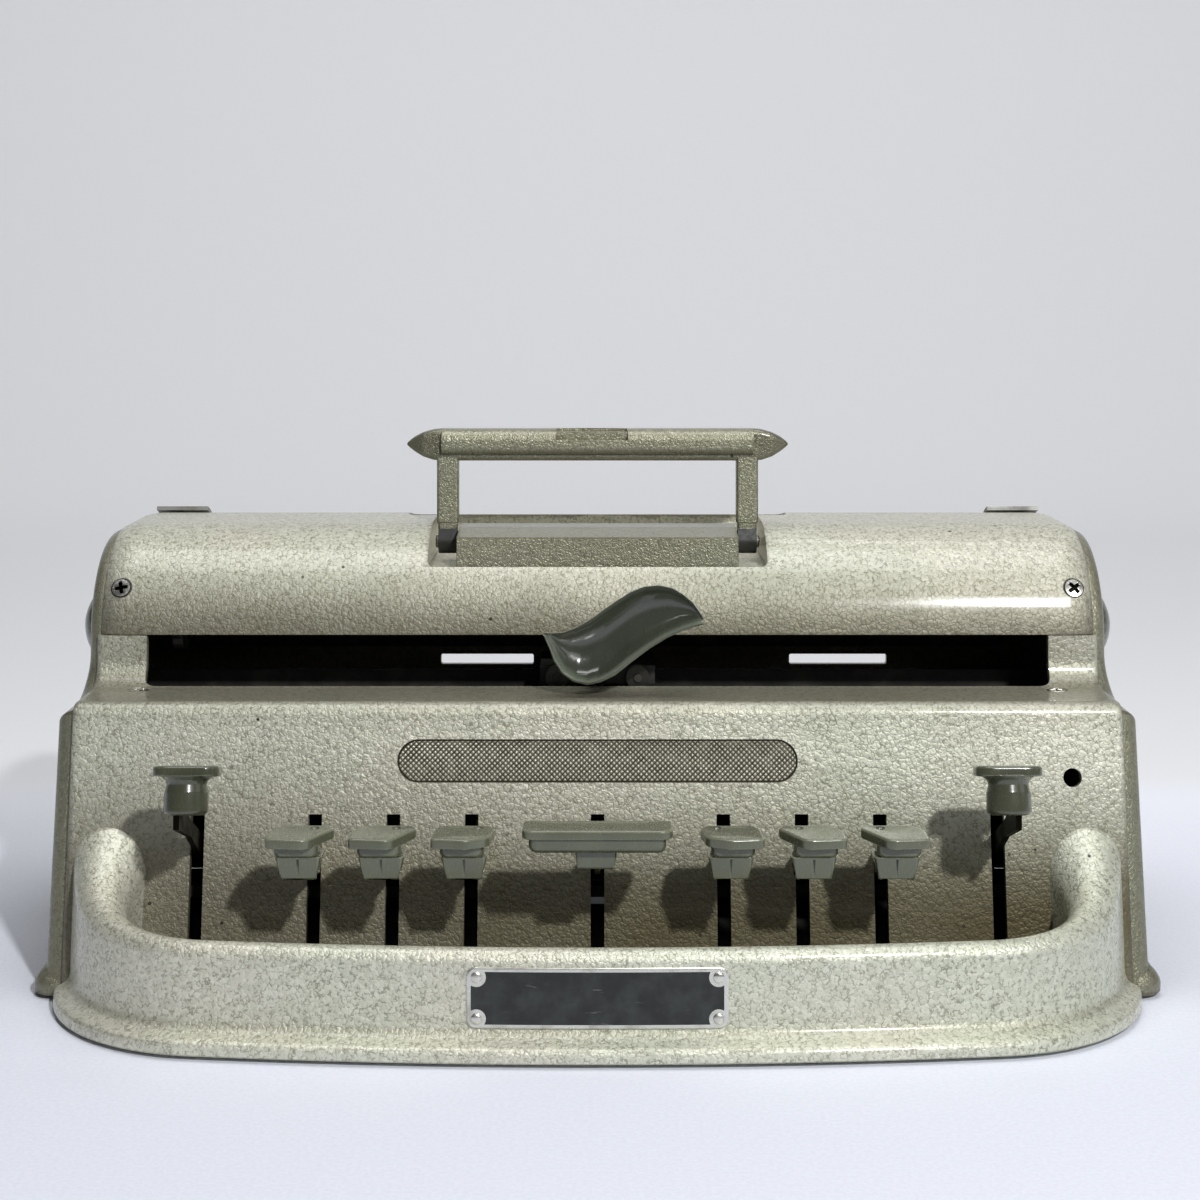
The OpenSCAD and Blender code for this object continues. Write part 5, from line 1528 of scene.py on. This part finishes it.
# ---- The handle ----------------------------------------------------------------------------------
@dataclass
class Handle:
    """Grip with boat-shaped ends, two legs on pins, and the block between them.

    Attributes:
        y: Depth of the legs and pins.
        z: Height of the pins.
        half: Half the length of the grip's straight part.
        leg: Places across of each leg's two faces.
    """

    y: float = 37.945
    z: float = 150.0
    half: float = 60.5
    leg: tuple[float, float] = (54.0, 62.5)

    def grip(self) -> None:
        """The grip: a boat-shaped bar with a half-round bar let into its front.

        The back bar is a rounded rectangle carried along x; its upper and lower edges follow the
        boat's outline, drawn through the points below.
        """
        x = np.concatenate([-np.linspace(74.2, 60.5, 22), np.linspace(60.5, 74.2, 22)])
        far = np.abs(x)
        along, ends = [60.5, 64, 68, 71.2, 73.2, 74.2], [60.5, 68, 74.2]
        up = np.interp(far, along, [194, 193.7, 192.6, 191, 189.5, 188.4])
        low = np.interp(far, along, [181.6, 181.9, 183.2, 185, 186.6, 187.7])
        thin = np.interp(far, ends, [5.9, 5.2, 1.2])
        front = np.interp(far, ends, [-3.4, -3.2, -0.6])
        rings = []
        for k in range(len(x)):
            r = min(2.2, 0.42 * (up[k] - low[k]), 0.42 * (thin[k] - front[k]))
            box = rectangle(self.y + front[k], self.y + thin[k], low[k], up[k], r, 5)
            rings.append(on_x(box, x[k]))
        obj = Surface().loft(rings).object("grip")
        y = self.y
        line = np.concatenate([arc(y - 1.7, 189.4, 4.5, 180, 90, 12),
            [[y + 2, 193.9], [y + 2, 184.2]], arc(y - 3.2, 187.2, 3.0, 270, 180, 8)])
        bar = Surface().loft([on_x(line, v) for v in (-self.half, self.half)])
        carve(obj, [bar], "UNION")
        notch = prism(rectangle(-16.3, 11.8, 189.9, 196.0, 0.4, 3), standing, (y - 10, y - 3.9))
        slit = prism(rectangle(-15.9, 11.4, 192.9, 196.0, 0.2, 2), standing, (y - 10, y + 3.0))
        carve(obj, [notch, slit])
        soften(obj, 0.35, 40)
        refine(obj, 4.0)
        # The boat-shaped ends take their own darker tone; the lower part of the straight bar is
        # painted in shade
        x, _, z = spots(obj).T
        tip = smoothstep(np.abs(x), self.half - 0.2, self.half + 0.6)
        paint_shade_and_tone(obj, 0.55 * tip + 0.4 * (1 - tip) * (1 - smoothstep(z, 183.5, 188.5)))
        dress(obj, Kind.DARK_PAINT, "handle", "handle_grip", wear=2.0, angle=32)

    def pins(self, profile: Points) -> list[Surface]:
        """Both hinge pins, or the bores for them, from one profile."""
        return [turned(profile, 24, (s, 0, 0), (0, self.y, self.z)) for s in (-1, 1)]

    def legs(self) -> None:
        """The two painted legs and the dark lugs that turn on the pins."""
        y = self.y
        legs, lugs = [], []
        for s in (-1, 1):
            x0, x1 = sorted((s * self.leg[0], s * self.leg[1]))
            plan = rectangle(x0, x1, y - 3.25, y + 3.25, 1.1, 5)
            foot = rectangle(x0 + 0.5, x1 - 0.5, y - 3.0, y + 3.0, 1.0, 5)
            legs += [prism(plan, upright, (157.6, 183.4)), prism(foot, upright, (154.4, 158.0)),
                turned([[-3.42, 0.4], [-3.42, 2.9], [-3.25, 3.15], [-2.6, 3.15]], 36, (0, 1, 0),
                    ((x0 + x1) / 2, y, 176.8))]
            eye = np.concatenate([arc(y, self.z, 4.6, 150, 390, 28),
                [[y + 2.9, 155.6], [y - 2.9, 155.6]]])
            lugs.append(Surface().loft([on_x(eye, x0 + 0.6), on_x(eye, x1 - 0.6)]))
        body = legs[0].object("handle_leg_pair")
        carve(body, legs[1:], "UNION")
        soften(body, 0.4, 40)
        dress(body, Kind.DARK_PAINT, "handle", "handle_legs", wear=2.0, angle=32)
        lug = lugs[0].object("handle_lugs")
        carve(lug, lugs[1:], "UNION")
        carve(lug, self.pins([[52.0, 2.6], [64.5, 2.6]]))
        # Painted shade: the lugs are black, standing for the shade in the gap under the legs
        dress(lug, Kind.CASTING, "handle", angle=35)

    def block(self) -> None:
        """The raised block between the legs, with its two hinge pins."""
        line = rounded([[13.945, 142.5], [44.945, 142.5], [44.945, 156.4], [30.945, 156.4],
            [13.945, 154.4]], [0.3, 0.3, 1.6, 6.0, 0.7], 6)
        obj = Surface().loft([on_x(line, v) for v in (-53.5, 53.5)]).object("handle_block")
        carve(obj, self.pins([[52.0, 2.5], [62.7, 2.5], [63.1, 2.1]]), "UNION")
        soften(obj, 0.4, 40)
        dress(obj, Kind.DARK_PAINT, "case", "handle_bracket", wear=2.0, angle=32)

    def build(self) -> None:
        """Makes the handle."""
        self.grip()
        self.legs()
        self.block()




# ---- Keys ----------------------------------------------------------------------------------------
def inset(line: Array, d: float) -> Array:
    """A closed anticlockwise outline moved inwards by d, square to the line through each
    point's two neighbours."""
    t = np.roll(line, -1, 0) - np.roll(line, 1, 0)
    t /= np.linalg.norm(t, axis=1)[:, None]
    return line + d * np.stack([-t[:, 1], t[:, 0]], axis=1)


def slab(line: Array, z0: float, z1: float, top: float, low: float, dish: float = 0.0,
         draft: float = 0.0) -> Surface:
    """A plate with rounded edges over an anticlockwise outline.

    Each rounding is a quarter circle swept round the outline. The upper face sinks by
    dish (1 - k^2) where the outline is scaled by k about its middle.

    Args:
        line: (n, 2) outline.
        z0: Height of the underside.
        z1: Height of the upper edge.
        top: Radius of the upper rounding.
        low: Radius of the lower rounding.
        dish: Depth of the upper face's hollow.
        draft: How far the underside is smaller than the top.

    Returns:
        The surface, with one closed solid.
    """
    a = np.linspace(0, np.pi / 2, 6)
    rings = [(draft + low * (1 - math.sin(t)), z0 + low * (1 - math.cos(t))) for t in a]
    rings += [(top * (1 - math.cos(t)), z1 - top * (1 - math.sin(t))) for t in a]
    level = lambda xy, z: np.column_stack([xy, np.full(len(xy), z)])
    loops = [level(inset(line, d), z) for d, z in rings]
    edge = loops[-1][:, :2]
    mid = edge.mean(0)
    loops += [level(mid + (edge - mid) * k, z1 - dish * (1 - k * k))
        for k in np.linspace(0.94, 0.04, 16)]
    return Surface().loft(loops)


def plate(corners: Points, radii: Sequence[float] | float, steps: int,
          count: int, z0: float, z1: float, **shape: float) -> Surface:
    """A slab over a polygon with rounded corners.

    Args:
        corners: The polygon, anticlockwise.
        radii: Radius of its corners, or one for each.
        steps: Steps in each corner.
        count: Points round the outline.
        z0: Height of the underside.
        z1: Height of the upper edge.
        **shape: The slab's roundings, hollow and draft.

    Returns:
        The surface, with one closed solid.
    """
    return slab(resample(rounded(corners, radii, steps), count), z0, z1, **shape)


@dataclass
class Keys:
    """The nine moulded key caps: six leaf-shaped dot caps, the space cap and two end caps.

    Attributes:
        y: Depth of every cap's middle.
        gap: Place across of the inner dot caps.
        pitch: Distance between dot caps.
        dot_z: Height of the dot caps' tops.
        space_z: Height of the space cap's top.
        end_x: Place across of the end caps.
        end_z: Height of the middle of their bodies.
        end_tilt: Their tilt about the x axis in degrees.
        NEAR: Corners and radii of the leaf next to the space cap, drawn for the right hand.
        OUTER: The same for the two outer leaves.
    """

    y: float = -78.0
    gap: float = 44.4
    pitch: float = 27.6
    dot_z: float = 67.4
    space_z: float = 70.5
    end_x: float = 138.0
    end_z: float = 81.0
    end_tilt: float = -12.0

    NEAR: ClassVar[tuple[Points, Sequence[float]]] = (
        [[-11.0, -12.0], [0.7, -13.6], [8.2, -9.9], [9.9, 2.0], [7.6, 5.8], [-8.2, 5.8],
        [-10.5, 1.0]], [2.0, 5.0, 5.0, 3.4, 3.0, 3.0, 4.0])
    OUTER: ClassVar[tuple[Points, Sequence[float]]] = (
        [[-10.6, -12.0], [3.4, -13.8], [11.3, 2.4], [9.2, 6.0], [-7.1, 6.2], [-10.6, -1.0]],
        [2.0, 4.0, 3.4, 3.0, 3.0, 5.0])

    def moved(self, part: Surface, x: float, z: float, side: int = 1,
              tilt: float = 0.0) -> Surface:
        """Mirrors a part if side is -1, tilts it about x by tilt degrees and moves it."""
        c, s = math.cos(math.radians(tilt)), math.sin(math.radians(tilt))
        p = np.concatenate(part.points) * [side, 1, 1]
        part.points = [np.stack([p[:, 0] + x, p[:, 1] * c - p[:, 2] * s + self.y,
            p[:, 1] * s + p[:, 2] * c + z], axis=1)]
        return part

    def cap(self, name: str, parts: Sequence[Surface], cuts: Sequence[Surface] = (),
            kind: Kind = Kind.KEY) -> None:
        """Joins the parts of a key's cap, makes its cuts and finishes it."""
        obj = parts[0].object(f"{name}_cap_skin")
        carve(obj, parts[1:], "UNION")
        if cuts:
            carve(obj, cuts)
        soften(obj, 0.22, 40)
        dress(obj, kind, f"key_{name}", f"{name}_cap", wear=1.2, angle=38)

    def dot(self, number: int) -> None:
        """One dot cap: a dished leaf whose wing points outwards, a smaller tier and a stem."""
        side = -1 if number < 4 else 1
        place = (number - 1) % 3
        x = side * (self.gap + place * self.pitch)
        plan, radii = self.OUTER if place else self.NEAR
        parts = [plate(plan, radii, 10, 110, -3.4, 0.0, top=0.9, low=0.5, dish=0.7),
            plate([[-8.2, -9.6], [6.6, -9.6], [6.6, 4.6], [-7.6, 4.6]], 3.0, 10, 90, -7.4, -3.2,
                top=0.2, low=1.9),
            plate([[-7.7, -8.4], [7.7, -8.4], [7.7, 4.4], [-7.7, 4.4]], 1.4, 8, 90, -15.0, -7.2,
                top=0.2, low=0.8, draft=2.0)]
        cuts = [prism(rectangle(-0.4, 0.4, -15.4, -7.8), standing, (-10.0, -6.4)),
            turned([[-0.75, 1.3], [-0.5, 1.6], [1.0, 1.7]], 24, (0, 0, 1), (4.2, 3.0, 0.0))]
        self.cap(f"dot_{number}", *([self.moved(p, x, self.dot_z, -side) for p in group]
            for group in (parts, cuts)))

    def space(self) -> None:
        """The space cap: a broad plate over a deep tier and a stem."""
        parts = [plate([[-25, -14.3], [25, -14.3], [25, 0], [-25, 0]], [4.0, 4.0, 1.6, 1.6], 8,
                220, -3.0, 0.0, top=0.9, low=0.5, dish=0.35),
            plate([[-22.8, -13], [22.8, -13], [22.8, -1.0], [-22.8, -1.0]], 3.0, 8, 220, -8.0,
                -2.8, top=0.2, low=2.4),
            plate([[-7.6, -9.0], [6.6, -9.0], [6.6, 5.6], [-7.6, 5.6]], 1.2, 8, 90, -14.5, -7.6,
                top=0.2, low=1.4, draft=0.8)]
        self.cap("space", [self.moved(p, 0.0, self.space_z) for p in parts])

    def end(self, name: str, side: int) -> None:
        """One end cap: a rounded plate on a waisted, turned body, tilted to the front."""
        a = np.radians(np.linspace(0, 80, 9))
        profile = np.vstack([[[-8.5, 5.6], [-8.3, 6.6], [-7.6, 7.3], [-6.9, 7.5], [-1.0, 7.4]],
            np.stack([-1.0 + 2.7 * np.sin(a), 7.2 - 0.5 * np.sin(a)], 1),
            [[2.6, 7.0], [3.4, 7.8], [4.3, 9.0], [4.6, 9.2]]])
        parts = [plate([[-11.2, -7.2], [11.2, -7.2], [11.2, 7.2], [-11.2, 7.2]], 5.2, 10, 120, 4.2,
            7.6, top=1.0, low=0.7, dish=0.5), turned(profile, 64, (0, 0, 1))]
        self.cap(name, [self.moved(p, side * self.end_x, self.end_z, tilt=self.end_tilt)
            for p in parts], kind=Kind.KEY_SHADED)

    def build(self) -> None:
        """Makes all nine caps."""
        for number in range(1, 7):
            self.dot(number)
        self.space()
        self.end("line", -1)
        self.end("backspace", 1)


# ---- The carriage's lever and the feed knobs -----------------------------------------------------
@dataclass
class Spoon:
    """The spoon-shaped lever on the carriage: a thin curved shell with a raised rim.

    The lower, inner and upper edges are smooth curves through the points below, each resampled
    by its own length. Between the inner and the upper one, t running from 0 to 1, the shell is
    swept back by a share of sin(pi t^0.8) and rises by 2.2 t. Its lower rim is rolled forward.
    """

    y: float = -24.4
    hub_z: float = 114.5

    LOW: ClassVar[Points] = [
        [-19.8, 123.9], [-17.5, 118.9], [-16.1, 114.7], [-12.8, 109.8], [-8.6, 106.9],
        [-3.6, 105.8], [1.3, 106.9], [6.3, 109.3], [12.1, 113.9], [18.7, 118.9], [25.4, 123.0],
        [31.2, 125.5], [38.4, 127.8]]
    INNER: ClassVar[Points] = [
        [-18.2, 123.4], [-16.7, 119.7], [-14.8, 115.6], [-11.9, 111.4], [-7.8, 108.7],
        [-3.6, 108.3], [0.5, 109.3], [4.6, 112.2], [10.9, 117.6], [17.1, 121.8], [23.3, 125.1],
        [29.5, 128.0], [34.9, 129.5], [38.2, 129.0]]
    HIGH: ClassVar[Points] = [
        [-19.9, 124.2], [-17.2, 123.9], [-12.4, 124.2], [-7.8, 125.9], [-2.8, 128.7],
        [2.2, 132.4], [7.2, 135.9], [12.2, 139.0], [17.2, 140.9], [22.2, 141.3], [27.2, 140.3],
        [31.3, 137.8], [34.7, 134.9], [37.0, 131.6], [38.6, 128.6]]

    def shell(self) -> Surface:
        """The shell between its edges, 2 mm thick, as one closed solid."""
        n = 90
        low, inner, high = (resample(np.array(line), n, closed=False)
            for line in (self.LOW, self.INNER, self.HIGH))
        t = np.append(np.linspace(0, 0.9, 13), [0.955, 1.0])[:, None]
        dish = 5.2 * np.sin(np.pi * np.linspace(0, 1, n)) ** 0.6
        web = inner * (1 - t[..., None]) + high * t[..., None]
        depth = self.y + 1.6 + dish * np.sin(np.pi * t**0.8) * 0.9 + 2.2 * t
        depth = depth - 1.1 * smoothstep(t, 0.93, 1.0)
        across, forward = np.array([[0.0, 0.35, 0.75], [-0.4, -1.4, -1.2]])
        rim = low + (inner - low) * across[:, None, None]
        rim_depth = self.y + forward[:, None] + np.zeros((3, n))
        front = np.concatenate([rim, web])
        y = np.concatenate([rim_depth, depth])
        back = y + 2.0
        back[0] -= 0.6
        pts = np.concatenate([np.stack([front[..., 0], y, front[..., 1]], -1),
            np.stack([front[..., 0], back, front[..., 1]], -1)[::-1]])
        return Surface().grid(pts, wrap_rows=True).close_ends(pts)

    def build(self) -> None:
        """Makes the lever with its hub."""
        obj = self.shell().object("spoon_lever")
        hub = [[-17.3, 3.8], [-16.9, 4.3], [-15.0, 4.6], [-12.6, 4.8], [-12.0, 4.4]]
        carve(obj, [turned(hub, 48, (0, 1, 0), (0, 0, self.hub_z))], "UNION")
        soften(obj, 0.4, 35)
        dress(obj, Kind.LEVER, "advance_lever", "carriage_lever", wear=1.5, angle=40)
        # Painted highlight: the lower lip and the upper edge painted lighter through the attribute
        # rim
        seen = spots(obj)[:, None, [0, 2]]
        low, high = (np.linalg.norm(seen - resample(np.array(line), 120, closed=False),
            axis=-1).min(1) for line in (self.LOW, self.HIGH))
        mark(obj.data, "rim", 1 - np.minimum(smoothstep(low, 1.3, 2.6),
            smoothstep(high, 0.5, 1.3)))


@dataclass
class FeedKnobs:
    """The two fluted knobs on the feed shaft. At angle t the radius is r (1 - 0.09 f), where f
    is a narrow groove repeated twelve times and fading towards the domed end."""

    x: float = 187.3
    length: float = 16.7
    radius: float = 15.0
    y: float = 56.4448

    def build(self) -> None:
        """Makes both knobs."""
        a = np.linspace(0, np.pi / 2, 14)
        h = np.concatenate([[0, 0.4, 1.4, 3.0, 5.0], self.length * (0.42 + 0.58 * np.sin(a))])
        k = np.concatenate([[0.84, 0.9, 0.96, 1.0, 1.0], 0.05 + 0.95 * np.cos(a) ** 1.25])
        t = np.linspace(0, 2 * np.pi, 288, endpoint=False)
        groove = smoothstep(np.cos(12 * t), 0.1, 0.95)
        fade = 1 - smoothstep(h / self.length, 0.5, 0.8)
        r = self.radius * k[:, None] * (1 - 0.09 * fade[:, None] * groove)
        for side, name in ((-1, "left"), (1, "right")):
            pts = np.stack([side * (self.x + np.repeat(h[:, None], len(t), 1)),
                self.y + r * np.cos(t), SIZE.feed_z + r * np.sin(t)], axis=-1)
            obj = Surface().grid(pts, wrap_cols=True, caps=True).object(f"{name}_knob")
            dress(obj, Kind.KNOB, "feed", f"{name}_feed_knob", wear=1.5, angle=40)


# ---- The studio ----------------------------------------------------------------------------------
class Lamp(NamedTuple):
    """A rectangular area lamp; lengths are in metres and power is in watts."""

    name: str
    at: tuple[float, float, float]
    aim: tuple[float, float, float]
    size: tuple[float, float]
    power: float

    def build(self) -> None:
        """Puts the lamp into the scene."""
        data = bpy.data.lights.new(self.name, "AREA")
        data.shape, data.energy = "RECTANGLE", self.power
        data.size, data.size_y = self.size
        obj = bpy.data.objects.new(self.name, data)
        obj.location = self.at
        direction = Vector(self.aim) - Vector(self.at)
        obj.rotation_euler = direction.to_track_quat("-Z", "Y").to_euler()
        bpy.context.scene.collection.objects.link(obj)


@dataclass(frozen=True)
class Studio:
    """Camera, lamps, floor and backdrop, with lengths in metres.

    Attributes:
        image: Width and height of the view in pixels.
        focal_px: Focal length in those pixels.
        eye: Place of the camera.
        horizon_px: Row of the horizon.
        centre_px: Column straight ahead.
        world_light: Strength of the world's light.
        glossy_world: What reflections see of it on top.
        bounce: Colour of the floor near the machine for all but the camera's rays, which keeps
            surfaces that face down dark.
        lamps: The lamps.
        back: Depth at which the floor starts to curve up.
        reach: Half the floor's width.
    """

    image: float = 1200.0
    focal_px: float = 2130.0
    eye: tuple[float, float, float] = (0.0, -0.7935, 0.252)
    horizon_px: float = 280.0
    centre_px: float = 597.5
    world_light: float = 0.03
    glossy_world: float = 0.16
    bounce: Colour = (0.12, 0.12, 0.12)
    lamps: tuple[Lamp, ...] = (
        Lamp("key", (0.49, -1.34, 1.05), (0.0, 0.0, 0.06), (0.07, 0.07), 20.0),
        Lamp("top", (0.0, -0.1, 1.7), (0.0, 0.0, 0.05), (1.2, 0.8), 13.0),
        Lamp("behind", (0.3, 0.6, 1.5), (0.0, 0.0, 0.1), (0.5, 0.12), 0.9),
        Lamp("right", (1.6, -0.4, 0.6), (0.0, 0.0, 0.05), (0.8, 0.8), 1.5),
        Lamp("front", (0.62, -1.05, 0.62), (0.1, 0.0, 0.07), (0.7, 0.5), 1.25))
    back: float = 1.3
    reach: float = 3.0

    def camera(self) -> None:
        """A level camera; the shift puts its horizon at the row where the view has it."""
        data = bpy.data.cameras.new("camera")
        data.sensor_fit, data.sensor_width = "HORIZONTAL", 36.0
        data.lens = 36.0 * self.focal_px / self.image
        data.shift_y = (self.horizon_px - self.image / 2) / self.image
        data.shift_x = (self.image / 2 - self.centre_px) / self.image
        data.clip_start, data.clip_end = 0.05, 50.0
        obj = bpy.data.objects.new("camera", data)
        obj.location = self.eye
        obj.rotation_euler = (math.radians(90), 0, 0)
        bpy.context.scene.collection.objects.link(obj)
        bpy.context.scene.camera = obj

    def backdrop(self) -> None:
        """The pale floor, which curves up into the backdrop."""
        g = Graph("studio_floor")
        camera_ray = g.ray("Camera")
        y = g.node("SeparateXYZ", {0: g.place}, 1)
        rise = g.math("ADD", y, g.node("SeparateXYZ", {0: g.place}, 2))
        near = g.mix(g.step(g.noise(700.0, 2.0, 0.6), 0.3, 0.7), srgb(226, 229, 240),
            srgb(232, 235, 246))
        open_floor = g.math("MAXIMUM", camera_ray, g.step(y, -0.55, -0.24))
        near = g.mix(open_floor, self.bounce, near)
        seen = g.math("MAXIMUM", camera_ray, g.ray("Glossy"))
        glow = g.math("ADD", g.step(rise, 0.0, 0.30, 0.0, 0.27), g.step(rise, 0.3, 1.6, 0.0, 0.13))
        g.shader_inputs(Roughness=0.85, Normal=g.bump(g.noise(420.0, 2.0), 0.0006, 0.25),
            Base_Color=g.mix(g.step(rise, 0.235, 0.30), near, srgb(222, 223, 226)),
            Emission_Color=srgb(233, 234, 238), Emission_Strength=g.math("MULTIPLY", seen, glow))
        line = np.vstack([[-self.reach, 0.0], arc(self.back, 0.5, 0.5, -90, 0, 20),
            [self.back + 0.5, 3.0]])
        rows = [on_x(line / MM, x / MM) for x in (-self.reach, 0.0, self.reach)]
        floor = Surface().grid(np.stack(rows)).object("studio_floor")
        floor.data.materials.append(g.material)
        shade(floor, 60)
        floor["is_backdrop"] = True

    def world(self) -> None:
        """A weak, even world light, which reflections and the camera see as pale."""
        world = bpy.data.worlds.new("world")
        bpy.context.scene.world = world
        world.use_nodes = True
        g = Wiring(world.node_tree)
        seen = g.math("MAXIMUM", g.ray("Camera"), g.ray("Transmission"))
        glossy = g.math("MULTIPLY_ADD", g.ray("Glossy"), self.glossy_world, self.world_light)
        background = g.tree.nodes["Background"].inputs
        g.set(background["Color"], (0.66, 0.67, 0.70))
        g.set(background["Strength"], g.math("MAXIMUM", seen, glossy))

    def build(self) -> None:
        """Sets up the studio."""
        self.camera()
        self.world()
        self.backdrop()
        for lamp in self.lamps:
            lamp.build()
        bpy.context.scene.view_settings.view_transform = "Standard"


# ---- Carried-over solids -------------------------------------------------------------------------
DOT_AND_SPACE = ("dot_1", "dot_2", "dot_3", "dot_4", "dot_5", "dot_6", "space")
ENDS = ("line", "backspace")
CARRIED: dict[Kind, tuple[str, ...]] = {
    Kind.PAN: ("bottom_pan",),
    Kind.RUBBER: ("rubber_feet",),
    Kind.TIP: ("left_release_lever", "right_release_lever"),
    Kind.STEEL: ("plate_rivets", "case_screws", "feed_shaft", "line_ratchet", "pressure_rollers",
        "embossing_pins", "rear_rail", "escapement_rack", "spring_drum", "margin_rod"),
    Kind.SOILED: ("key_shaft", "key_springs"),
    Kind.DULL: ("front_rail", "head_rail"),
    Kind.ROLLER: ("feed_roller",),
    Kind.BLACK: ("left_feed_knob", "right_feed_knob", "left_margin_stop", "right_margin_stop"),
    Kind.BRASS: ("shaft_bushes",),
    Kind.CASTING: ("embossing_head", "pin_block", "stop_bar", "paper_guide", "shaft_brackets"),
    Kind.WHEEL: ("left_wheel", "right_wheel"),
    Kind.ZINC: tuple(f"{key}_lever" for key in DOT_AND_SPACE),
    Kind.ZINC_SHADED: tuple(f"{key}_lever" for key in ENDS),
    Kind.PLATE: ("data_plate",),
    Kind.DARK_PAINT: ("handle_grip", "handle_legs", "handle_bracket"),
    Kind.LEVER: ("carriage_lever",),
    Kind.KEY: tuple(f"{key}_cap" for key in DOT_AND_SPACE + ENDS),
}


def finish_carried() -> None:
    """Gives every CAD node its procedural material."""
    for kind, names in CARRIED.items():
        for name in names:
            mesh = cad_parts[name].data
            mesh.materials.clear()
            mesh.materials.append(kind.material)


def write_size() -> None:
    """Makes the CAD box and the visual model's box into plain lists of numbers, which are not kept.
    """
    plain = lambda box: [[float(v) for v in corner] for corner in box]
    {"cad": plain(CAD_BOX), "visual": plain(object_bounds())}


def main() -> None:
    """Builds the whole scene."""
    logging.basicConfig(level=logging.INFO, format="%(name)s: %(message)s")
    Studio().build()
    finish_carried()
    for part in (Case(), NameRecess(), DataPlate(), Screws(), Handle(), Keys(), Spoon(),
            FeedKnobs()):
        part.build()
        LOG.info("built %s", type(part).__name__)
    write_size()


if __name__ == "__main__":
    main()
